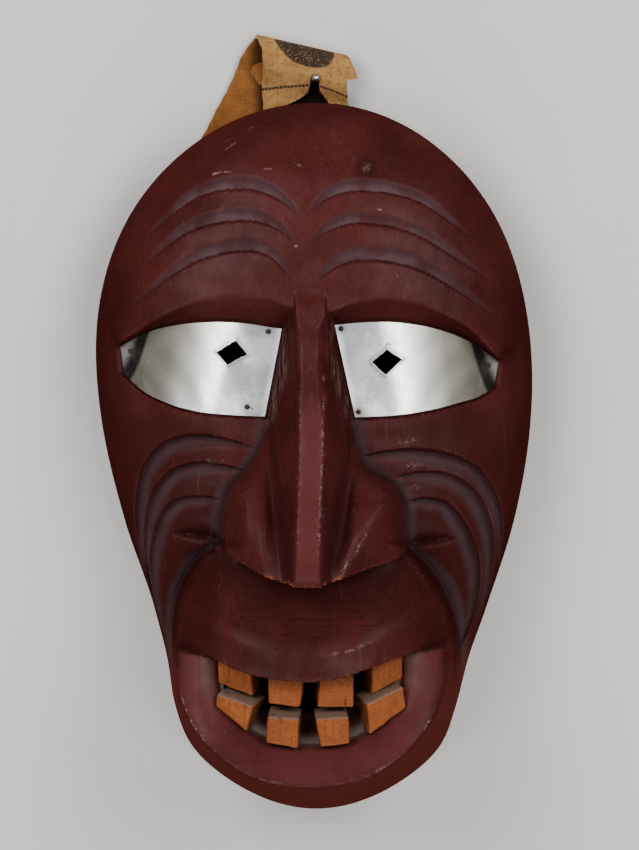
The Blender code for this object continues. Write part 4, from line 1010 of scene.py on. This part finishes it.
plates = {
    "thickness": 0.0006,
    "margin": 0.0009,
    "innerMargin": -0.0003, "outerMargin": 0.0002,
    # Where the painted highlight band and the painted dark reflection at the bend lie along each plate at its
    # bottom and its top
    "light": {"left": (0.44, 0.31), "right": (0.385, 0.335)},
    "dark": {"left": (0.99, 0.85), "right": (0.985, 0.86)},
    "columns": 120, "rows": 66,
    "holeWidth": 0.0123, "holeHeight": 0.0102,
    "burr": 0.00022,
    "bendRise": 0.001,        # how far the sheet stands off before it is bent down at the eye's corner
    "wave": 0.0001,
    "dish": 0.00035,           # how far it is pressed in at its inner end
    "lift": 0.0004,            # its middle over the eye's level
    "ragged": 0.00036,         # unevenness of the diamond's cut edge
    "scratches": [((-0.0944, 0.0913), (-0.0868, 0.0864)), ((0.0962, 0.1738), (0.0985, 0.1768)),
                  ((0.0985, 0.1768), (0.103, 0.1755))],
    "scratchWidth": (0.00012, 0.0003),
    "bright": (0.96, 0.955, 0.93), "dull": (0.3, 0.285, 0.235), "blue": (0.46, 0.485, 0.5),
    "shadow": (0.022, 0.022, 0.018), "grit": (0.4, 0.4, 0.39), "rim": (0.97, 0.96, 0.93),
    "stain": (0.2, 0.14, 0.1),
}


def platePlace(side, s, t):
    eye = eyes[side]
    (a, b), (c, d) = [(e[0][0], e[1][0]) for e in (eye["inner"], eye["outer"])]
    sign = -1 if side == "left" else 1
    inner, outer = [sign * plates[key] / across for key in ("innerMargin", "outerMargin")]
    topP = a + inner + (c - a - inner - outer) * s
    lowP = b + inner + (d - b - inner - outer) * s
    topQ = curve("plateTop", topP) - plates["margin"] / up
    lowQ = curve("plateBottom", lowP) + plates["margin"] / up
    return lowP + (topP - lowP) * t, lowQ + (topQ - lowQ) * t


# How far a place is from the diamond's edge: below 0 inside it
def fromDiamond(side, x, y):
    corners = [(a * plates["holeWidth"] / 2, b * plates["holeHeight"] / 2) for a, b in eyes[side]["corners"]]
    away = np.full_like(x, -1.0)
    for (ax, ay), (bx, by) in zip(corners, corners[1:] + corners[:1]):
        length = math.hypot(bx - ax, by - ay)
        away = np.maximum(away, ((by - ay) * (x - ax) - (bx - ax) * (y - ay)) / length)
    return away


def eyePlate(side):
    mesh, flat = flatSheet(side + "_eye", plates["columns"], plates["rows"])
    s, t = (flat[:, 0] + 1) / 2, (flat[:, 1] + 1) / 2
    p, q = platePlace(side, s, t)
    place = spot(*eyes[side]["hole"])
    away = fromDiamond(side, p * across + faceOrigin.x - place.x, q * up + faceOrigin.y - place.y)
    level = curve("plateLevel", p) * out
    slant = s - 0.05 * (t - 0.5)
    bend = ease(0.55, 0.86, slant) * ease(0.945, 0.875, slant)
    dish = plates["dish"] * np.sin(np.pi * np.clip(s / 0.36, 0, 1)) * np.sin(np.pi * t)
    dents = plates["wave"] * (np.sin(9 * s + 4 * t) * np.sin(7 * t + 2) + 0.5 * np.sin(23 * s - 11 * t))
    burr = plates["burr"] * np.exp(-(np.maximum(away, 0) / 0.0007) ** 2)
    z = level + plates["lift"] + plates["bendRise"] * bend - dish + dents + burr
    moveTo(mesh, np.column_stack([p * across + faceOrigin.x, q * up + faceOrigin.y, z]))
    light, dark = [low + (high - low) * t for low, high in (plates["light"][side], plates["dark"][side])]
    bendLine = ease(-0.045, -0.025, s - dark) * ease(0.1, 0.015, s - dark)
    nailed = np.min([np.hypot((p - a) * across, (q - b) * up) for a, b in eyes[side]["nails"]], axis=0)
    # Painted reflections: a light band, a dark band at the bend and a blue-grey inner part; the metal is duller
    # away from the light band
    marks = {
        "rim": np.exp(-(np.maximum(away, 0) / 0.0006) ** 2),
        "light": np.exp(-((s - light) / np.where(s < light, 0.07, 0.1)) ** 2),
        "tarnish": ease(0.03, 0.36, s - light) * (0.35 + 0.65 * ease(0.06, 0.02, s - dark)),
        "bendLine": np.maximum(bendLine, 0.42 * ease(0.7, 0.3, t) * ease(-0.02, 0.01, s - dark)),
        "inside": ease(-0.02, -0.1, s - light) * ease(0.0, 0.05, s),
        "stain": np.exp(-(nailed / 0.0022) ** 2),
    }
    for name, values in marks.items():
        paintValue(mesh, name, values)
    plate = added(side + "_eye", mesh)
    thicken(plate, thickness=plates["thickness"], offset=-1 if mesh.polygons[0].normal.z > 0 else 1)
    bm = bmesh.new()
    prism(bm, [(a * plates["holeWidth"] / 2, b * plates["holeHeight"] / 2, 0.05)
               for a, b in eyes[side]["corners"]], 0.03)
    edges = [e for e in bm.edges if abs(e.verts[0].co.z - e.verts[1].co.z) < 0.001]
    bmesh.ops.subdivide_edges(bm, edges=edges, cuts=6)
    for v in bm.verts:
        at = v.co * 900
        v.co += Vector((noise.noise(at), noise.noise(at + Vector((7, 7, 7))), 0)) * plates["ragged"]
    cutAway(plate, cutter(bm, "diamond", place))
    smooth(plate.data, 35)
    return plate


def sheetMetal():
    f = Finish("sheet_metal")
    brushed = f.noise(f.stretched(0.06, 1, 1, 10), 1900, 3, 0.6)
    cloud = f.noise(f.place, 60, 3, 0.5)
    grit = f.noise(f.place, 900, 3, 0.65)
    rim, stain, light, tarnish, inside, bendLine = f.attributes(
        "rim", "stain", "light", "tarnish", "inside", "bendLine")
    # The light band, the blue-grey inner part, the dark band at the bend and the dulling away from the light
    # band are painted reflections; grit and the rust stains by the nails are the metal's own, and the scratches
    # share the dark band's colour
    metal = f.mixed(tarnish + 0.3 * (cloud - 0.5), plates["bright"], plates["dull"])
    metal = f.layered(metal, plates,
                      blue=inside * (0.35 + f.step(cloud + 0.3 * grit, 0.45, 0.8)),
                      bright=light * 0.95,
                      shadow=f.clamp(bendLine + 0.3 * bendLine * (cloud - 0.5)) * 0.95,
                      grit=f.step(grit, 0.6, 0.75) * 0.25,
                      rim=rim * 0.8,
                      stain=stain * 0.6)
    flat = f.vector("MULTIPLY", f.place, (1, 1, 0))
    for a, b in plates["scratches"]:
        line = 1 - f.step(f.away(flat, spot(*a).xy, spot(*b).xy), *plates["scratchWidth"])
        metal = f.layered(metal, plates, shadow=line * f.step(grit, 0.3, 0.5) * 0.9)
    scratch = f.step(f.noise(f.stretched(0.03, 1, 1, 38), 700, 2, 0.5), 0.66, 0.69)
    rough = f.clamp(0.27 - 0.1 * light + 0.12 * tarnish + 0.1 * brushed + 0.08 * grit + 0.2 * stain)
    normal = f.bump(brushed * 0.5 + grit * 0.4 - scratch * 0.5, 0.0002, 0.35)
    return f.finish(Base_Color=metal, Metallic=1.0, Roughness=rough, Normal=normal)


nails = {
    "radius": 0.001,
    "height": 0.0006,
    "shank": 0.0005,
    "length": 0.006,
    "iron": (0.04, 0.038, 0.036),
    "rust": (0.05, 0.024, 0.014),
}


# A turned nail or pin from its profile, head up, standing at a place
def turned(profile, place, name, steps=28):
    bm = bmesh.new()
    verts = [bm.verts.new((x, 0, z)) for x, z in profile]
    edges = [bm.edges.new(pair) for pair in zip(verts, verts[1:])]
    bmesh.ops.spin(bm, geom=verts + edges, axis=(0, 0, 1), cent=(0, 0, 0), steps=steps, angle=math.tau,
                   use_merge=True)
    closed(bm)
    bmesh.ops.translate(bm, vec=place, verts=bm.verts)
    return meshOf(bm, name)


def nailIron():
    f = Finish("nail_iron")
    rust = f.step(f.noise(f.place, 1800, 3, 0.6), 0.45, 0.6)
    colour = f.mixed(rust, nails["iron"], nails["rust"])
    return f.finish(Base_Color=colour, Metallic=f.clamp(0.9 - 0.7 * rust), Roughness=f.clamp(0.42 + 0.3 * rust),
                    Normal=f.bump(rust, 0.0002, 0.4))


metal, iron = sheetMetal(), nailIron()
for side in eyes:
    plate = eyePlate(side)
    plate.data.materials.append(metal)
    dressed(plate, "sheet_metal", side + "_eye_plate")
    for number, (p, q) in enumerate(eyes[side]["nails"], 1):
        node = "%s_plate_nail_%d" % (side, number)
        low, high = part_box(node)
        r, h, length = nails["radius"], nails["height"], nails["length"]
        top = spot(p, q, high[2] - h)
        profile = [(0, h), (r * 0.35, h * 0.97), (r * 0.7, h * 0.75), (r * 0.93, h * 0.35), (r, 0.0),
                   (r * 0.9, -0.0001), (nails["shank"], -0.0001), (nails["shank"], -length * 0.8), (0, -length)]
        head = added("%s_eye_nail_%d" % (side, number), turned(profile, top, node), iron)
        smooth(head.data, 50)
        dressed(head, "nail_iron", node)
print("eye plates nailed on")


strap = {
    "width": 0.04,
    "thickness": 0.0016,
    "gap": 0.0006,
    "foldHeight": 0.0105,
    "reach": 0.0217,
    "tail": 0.011,
    "lean": 0.273,
    "tornEdge": 0.0052,        # how far the right edge steps in past its tip
    "slant": 0.0046,           # how far it is cut back at the fold
    "tip": 0.0098, "notch": 0.0118,
    "foldEnds": ((-0.083, 0.0046), (0.056, -0.0046)),
    "rows": 150, "columns": 48,
    "patch": (-0.0009, 0.0138, 0.0098),      # worn dark print: its middle, half its length and its depth
    "dash": 0.0008,           # half the height of the printed dashes
    "frays": (0.00008, 0.0001),
    "bulge": 0.0014, "dent": 0.0013,         # of its left edge
    "backWave": 0.0003, "frontWave": 0.0005,
    "tan": (0.43, 0.245, 0.086), "tanDark": (0.3, 0.145, 0.045), "blotch": (0.215, 0.092, 0.028),
    "rust": (0.3, 0.11, 0.03), "ink": (0.018, 0.014, 0.014), "cut": (0.45, 0.33, 0.19),
    "flesh": (0.26, 0.098, 0.024), "fleshDark": (0.11, 0.042, 0.012), "shaded": (0.04, 0.016, 0.006),
    "covered": (0.006, 0.004, 0.003),
}


def strapBend():
    inside = strap["reach"] + mask["rimTaper"] + mask["wall"] + strap["tail"]
    low = strap["gap"] + strap["thickness"] / 2
    high = low + strap["thickness"] + strap["gap"]
    reach, top = strap["reach"], strap["foldHeight"]
    rise = top - low
    return smoothPath([
        (inside, low), (inside - 0.012, low), (reach + 0.006, low), (0.64 * reach, low + 0.04 * rise),
        (0.23 * reach, low + 0.07 * rise), (0.055 * reach, low + 0.19 * rise), (0.0, low + 0.5 * rise),
        (0.055 * reach, low + 0.84 * rise), (0.23 * reach, top), (0.48 * reach, low + 0.92 * rise),
        (0.69 * reach, low + 0.62 * rise), (0.87 * reach, high + 0.1 * rise),
        (reach + 0.002, high + 0.01 * rise), (reach + 0.012, high), (inside - 0.004, high)], 4)


def hideStrap():
    bend = strapBend()
    run = np.concatenate([[0], np.cumsum(np.hypot(*np.diff(bend, axis=0).T))])
    run -= run[int(np.argmin(bend[:, 0]))]
    crown = form["outlineMiddle"] + form["outlineHalf"]
    left, right = [spot(a, crown) + Vector((0, strap["reach"] + past, 0)) for a, past in strap["foldEnds"]]
    middle, along = (left + right) / 2, (right - left).normalized()
    back = Vector((along.y, -along.x, 0))
    half = strap["width"] / 2 * math.hypot(1, strap["lean"])
    mesh, flat = flatSheet("hide_band", strap["columns"], strap["rows"])
    side = flat[:, 0]
    n = run[0] + (flat[:, 1] + 1) / 2 * (run[-1] - run[0])
    u = side * half
    frayed = strap["frays"][0] * np.sin(420 * n + 1) + strap["frays"][1] * np.sin(1100 * n)
    rightwards, leftwards = np.clip(side, 0, 1) ** 2, np.clip(-side, 0, 1) ** 3
    tip, notch = strap["tip"], strap["notch"]
    slant = np.where(n < 0, np.clip(1 + n / 0.012, 0, 1), np.clip(1 - n / tip, 0, 1))
    torn = rightwards * (strap["slant"] * slant + strap["tornEdge"] * ease(tip, notch, n))
    bulge = leftwards * (strap["bulge"] * ease(0.002, 0.008, n) * ease(0.024, 0.012, n)
                         - strap["dent"] * np.exp(-((n + 0.012) / 0.006) ** 2))
    f = strap["lean"] * n + u + frayed * side ** 8 - torn + bulge
    away = np.interp(n, run, bend[:, 0])
    z = np.interp(n, run, bend[:, 1])
    free = ease(-0.024, -0.004, n) * ease(0.026, 0.006, n)
    wave = free * np.where(n < 0, strap["backWave"], strap["frontWave"]) * np.sin(230 * u + 60 * n)
    z = z + wave * ease(0.0, 0.006, np.abs(n))
    points = np.array(middle)[None] + np.outer(f, np.array(along)) + np.outer(away, np.array(back))
    points[:, 2] = z
    moveTo(mesh, points)
    paintValue(mesh, "sideways", u)
    paintValue(mesh, "alongRun", n)
    paintValue(mesh, "edge", np.clip((np.abs(side) - 0.9) / 0.1, 0, 1))
    piece = added("hide_band", mesh, hideFlesh(), hideFront(), hideCut())
    thicken(piece, thickness=strap["thickness"], offset=0, material_offset=1, material_offset_rim=2)
    cutAway(piece, slitCutter())
    addFlap(piece)
    smooth(piece.data, 40)
    dressed(piece, "hide", "hide_strap")
    return piece


flap = {
    "outline": [(-0.0886, 0.5495), (-0.0834, 0.5523), (-0.0707, 0.5542), (-0.0693, 0.5366), (-0.0731, 0.5249),
                (-0.0792, 0.5225), (-0.0838, 0.5272), (-0.0886, 0.5359), (-0.0933, 0.5408)],
    "height": 0.005, "thickness": 0.0011, "droop": 0.0012,
    "plain": -0.05,            # a place across the hide that nothing covers
}


# The small torn lobe of hide beside the folded front
def addFlap(piece):
    bm = bmesh.new()
    bm.from_mesh(piece.data)
    outline = smoothPath(flap["outline"] + flap["outline"][:1], 3)[:-1]
    low = min(q for p, q in flap["outline"])
    corners = [spot(p, q, flap["height"] - flap["droop"] * (1 - (q - low) / 0.03)) for p, q in outline]
    corners = prism(bm, corners, flap["thickness"])
    for name, value in (("sideways", flap["plain"]), ("alongRun", 0.0), ("edge", 0.8)):
        layer = bm.verts.layers.float[name]
        for v in corners:
            v[layer] = value
    bmesh.ops.recalc_face_normals(bm, faces=bm.faces)
    bm.to_mesh(piece.data)
    bm.free()


slit = {
    "outline": ((-0.0016, 0.001), (0.0012, 0.001), (0.0013, -0.003), (0.0015, -0.0058), (0.0042, -0.0092),
                (0.0062, -0.0128), (0.0066, -0.017), (-0.015, -0.017), (-0.0125, -0.0118), (-0.007, -0.0092),
                (-0.0034, -0.0066), (-0.0024, -0.003)),
    "from": 0.0026, "to": 0.016,
    "rise": 0.25, "risesFrom": -0.006,      # its floor rises towards the pin, clear of the hide behind
}


def slitCutter():
    low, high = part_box("strap_pin")
    place = Vector(((low[0] + high[0]) / 2, (low[1] + high[1]) / 2, slit["from"]))
    bm = bmesh.new()
    prism(bm, [(x, y, slit["rise"] * max(0, y - slit["risesFrom"])) for x, y in slit["outline"]],
          slit["to"] - slit["from"])
    return cutter(bm, "slit", place)


def hideFront():
    f = Finish("hide_front")
    u, n, edge = f.attributes("sideways", "alongRun", "edge")
    fibre = f.noise(f.place, 1100, 4, 0.7)
    mottle = f.noise(f.place, 190, 4, 0.6)
    speck = f.noise(f.place, 1900, 2, 0.6)
    hide = f.mixed(f.step(mottle, 0.34, 0.66), strap["tanDark"], strap["tan"])
    hide = f.layered(hide, strap,
                     tan=f.step(fibre, 0.35, 0.62) * 0.5,
                     blotch=f.step(f.noise(f.place, 620, 4, 0.7), 0.49, 0.64) * 0.65,
                     rust=edge * f.step(mottle, 0.35, 0.6) * 0.6)
    middle, half, depth = strap["patch"]
    rough = 0.0016 * (mottle - 0.5) + 0.0008 * (speck - 0.5)
    oval = ((u - middle) / half) ** 2.0 + ((n + rough) / depth) ** 2.0
    patch = (1 - f.step(oval, 0.88, 1.06)) * f.step(n, 0.0006, 0.0014)
    worn = f.step(f.noise(f.place, 1500, 3, 0.75, 0.4) + 0.2 * (fibre - 0.5), 0.54, 0.63)
    hide = f.layered(hide, strap, ink=patch * (1 - 0.62 * worn) * 0.96)
    leftLine = f.maths("ABSOLUTE", n - 0.0171 + 0.37 * u + rough * 0.5) / strap["dash"]
    rightLine = f.maths("ABSOLUTE", n - 0.016 - 0.13 * u - rough * 0.5) / strap["dash"]
    leftLine = f.clamp(1 - leftLine) * (1 - f.step(u, 0.0, 0.001))
    rightLine = f.clamp(1 - rightLine) * f.step(u, 0.004, 0.005)
    dashes = f.step(f.maths("SINE", u * 3900) + 2.4 * (speck - 0.5), -1.15, -0.55)
    printed = f.clamp((leftLine + rightLine) * 2.2) * dashes * f.step(n, 0.01, 0.012)
    hide = f.layered(hide, strap, ink=printed * 0.9)
    return f.finish(Base_Color=hide, Roughness=f.clamp(0.78 + 0.15 * fibre), Specular_IOR_Level=0.15,
                    Normal=f.bump(fibre * 0.6 + mottle * 0.3, 0.0006, 0.6))


def hideFlesh():
    f = Finish("hide_flesh_side")
    u, n, edge = f.attributes("sideways", "alongRun", "edge")
    fibre = f.noise(f.place, 900, 4, 0.7)
    mottle = f.noise(f.place, 160, 3, 0.6)
    # Painted shade on the back leg by the front leg's edge, and a near-black painted shadow where the front leg
    # covers it, seen through the slit
    covered = u + strap["width"] / 2 + 2 * strap["lean"] * n
    hide = f.mixed(f.step(mottle, 0.3, 0.7), strap["fleshDark"], strap["flesh"])
    hide = f.layered(hide, strap,
                     flesh=0.45,
                     tan=f.step(fibre, 0.5, 0.7) * 0.3,
                     shaded=f.step(covered, -0.006, -0.0002) * 0.9,
                     covered=f.step(covered, 0.008, 0.0125) * 0.94)
    hide = f.layered(hide, strap, flesh=edge * 0.5)
    return f.finish(Base_Color=hide, Roughness=0.9, Normal=f.bump(fibre, 0.0006, 0.6), Specular_IOR_Level=0.1)


def hideCut():
    f = Finish("hide_cut_edge")
    fibre = f.noise(f.place, 1400, 3, 0.7)
    hide = f.mixed(f.step(fibre, 0.35, 0.65), strap["tanDark"], strap["cut"])
    return f.finish(Base_Color=hide, Roughness=0.88, Normal=f.bump(fibre, 0.0003, 0.5))


pin = {
    "radius": 0.0017,
    "dome": 0.002,
    "shank": 0.0006,
    "length": 0.0065,
    "steel": (0.6, 0.6, 0.63), "worn": (0.42, 0.42, 0.45),
}


def pinSteel():
    f = Finish("pin_steel")
    wear = f.noise(f.place, 1300, 3, 0.6)
    colour = f.mixed(f.step(wear, 0.4, 0.65), pin["steel"], pin["worn"])
    return f.finish(Base_Color=colour, Metallic=1.0, Roughness=f.clamp(0.2 + 0.18 * wear),
                    Normal=f.bump(wear, 0.0001, 0.3))


low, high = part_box("strap_pin")
r, h = pin["radius"], pin["dome"]
profile = [(r * math.sin(a), h * math.cos(a)) for a in np.linspace(0, math.pi / 2, 9)]
profile += [(r * 0.9, -0.0001), (pin["shank"], -0.0001), (pin["shank"], -pin["length"] * 0.8),
            (0, -pin["length"])]
place = Vector(((low[0] + high[0]) / 2, (low[1] + high[1]) / 2, high[2] - h))
pinHead = added("strap_pin_head", turned(profile, place, "strap_pin_head"), pinSteel())
smooth(pinHead.data, 50)
dressed(pinHead, "pin_steel", "strap_pin")
hideBand = hideStrap()
print("strap folded and pinned")


stage = {
    "floor": (0.74, 0.735, 0.72), "floorGrain": (0.66, 0.655, 0.64),
    "floorDrop": 0.0002,
    "sky": (0.045, 0.045, 0.047),
    "lens": 154.9,
    "target": (0.00218, -0.00155, 0.025),
    "distance": 1.5,
    "tilt": 8.0,
    "lights": (  # place, size, watts, colour
        ((-0.75, 0.75, 1.15), (0.8, 0.8), 15.5, (1.0, 0.97, 0.94)),
        ((0.8, 0.65, 1.15), (0.8, 0.8), 14.0, (1.0, 0.98, 0.97)),
        ((-0.88, -0.28, 1.8), (0.36, 0.9), 8.5, (1.0, 1.0, 1.0)),
        ((0.72, -0.28, 1.85), (0.36, 0.9), 8.5, (1.0, 1.0, 1.0)),
        ((0.0, -1.1, 0.9), (1.0, 0.5), 6.0, (1.0, 0.98, 0.96)),
    ),
}


def setStage():
    bm = bmesh.new()
    bmesh.ops.create_grid(bm, x_segments=2, y_segments=2, size=4)
    bmesh.ops.translate(bm, vec=(0, 0, -stage["floorDrop"]), verts=bm.verts)
    f = Finish("pale_floor")
    paper = f.noise(f.place, 300, 3, 0.6)
    colour = f.mixed(paper * 0.12, stage["floor"], stage["floorGrain"])
    added("floor", meshOf(bm, "floor"), f.finish(Base_Color=colour, Roughness=0.9))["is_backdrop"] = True
    world = bpy.data.worlds.new("studio")
    world.use_nodes = True
    world.node_tree.nodes["Background"].inputs["Color"].default_value = (*stage["sky"], 1)
    bpy.context.scene.world = world
    target = Vector(stage["target"])
    for number, (place, size, watts, colour) in enumerate(stage["lights"]):
        light = bpy.data.lights.new("softbox_%d" % number, "AREA")
        light.shape = "RECTANGLE"
        light.size, light.size_y = size
        light.energy = watts
        light.color = colour
        lamp = bpy.data.objects.new(light.name, light)
        lamp.location = place
        lamp.rotation_euler = (target - lamp.location).to_track_quat("-Z", "Y").to_euler()
        bpy.context.scene.collection.objects.link(lamp)
    tilt = math.radians(stage["tilt"])
    camera = bpy.data.objects.new("camera", bpy.data.cameras.new("camera"))
    camera.data.lens = stage["lens"]
    camera.data.clip_start = 0.01
    back = Vector((0, math.sin(tilt), math.cos(tilt)))
    camera.location = target + back * stage["distance"]
    right = Vector((1, 0, 0))
    camera.matrix_world = Matrix.Translation(camera.location) @ Matrix(
        (right, back.cross(right), back)).transposed().to_4x4()
    bpy.context.scene.collection.objects.link(camera)
    bpy.context.scene.camera = camera


setStage()
low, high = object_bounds()
print("stage set")
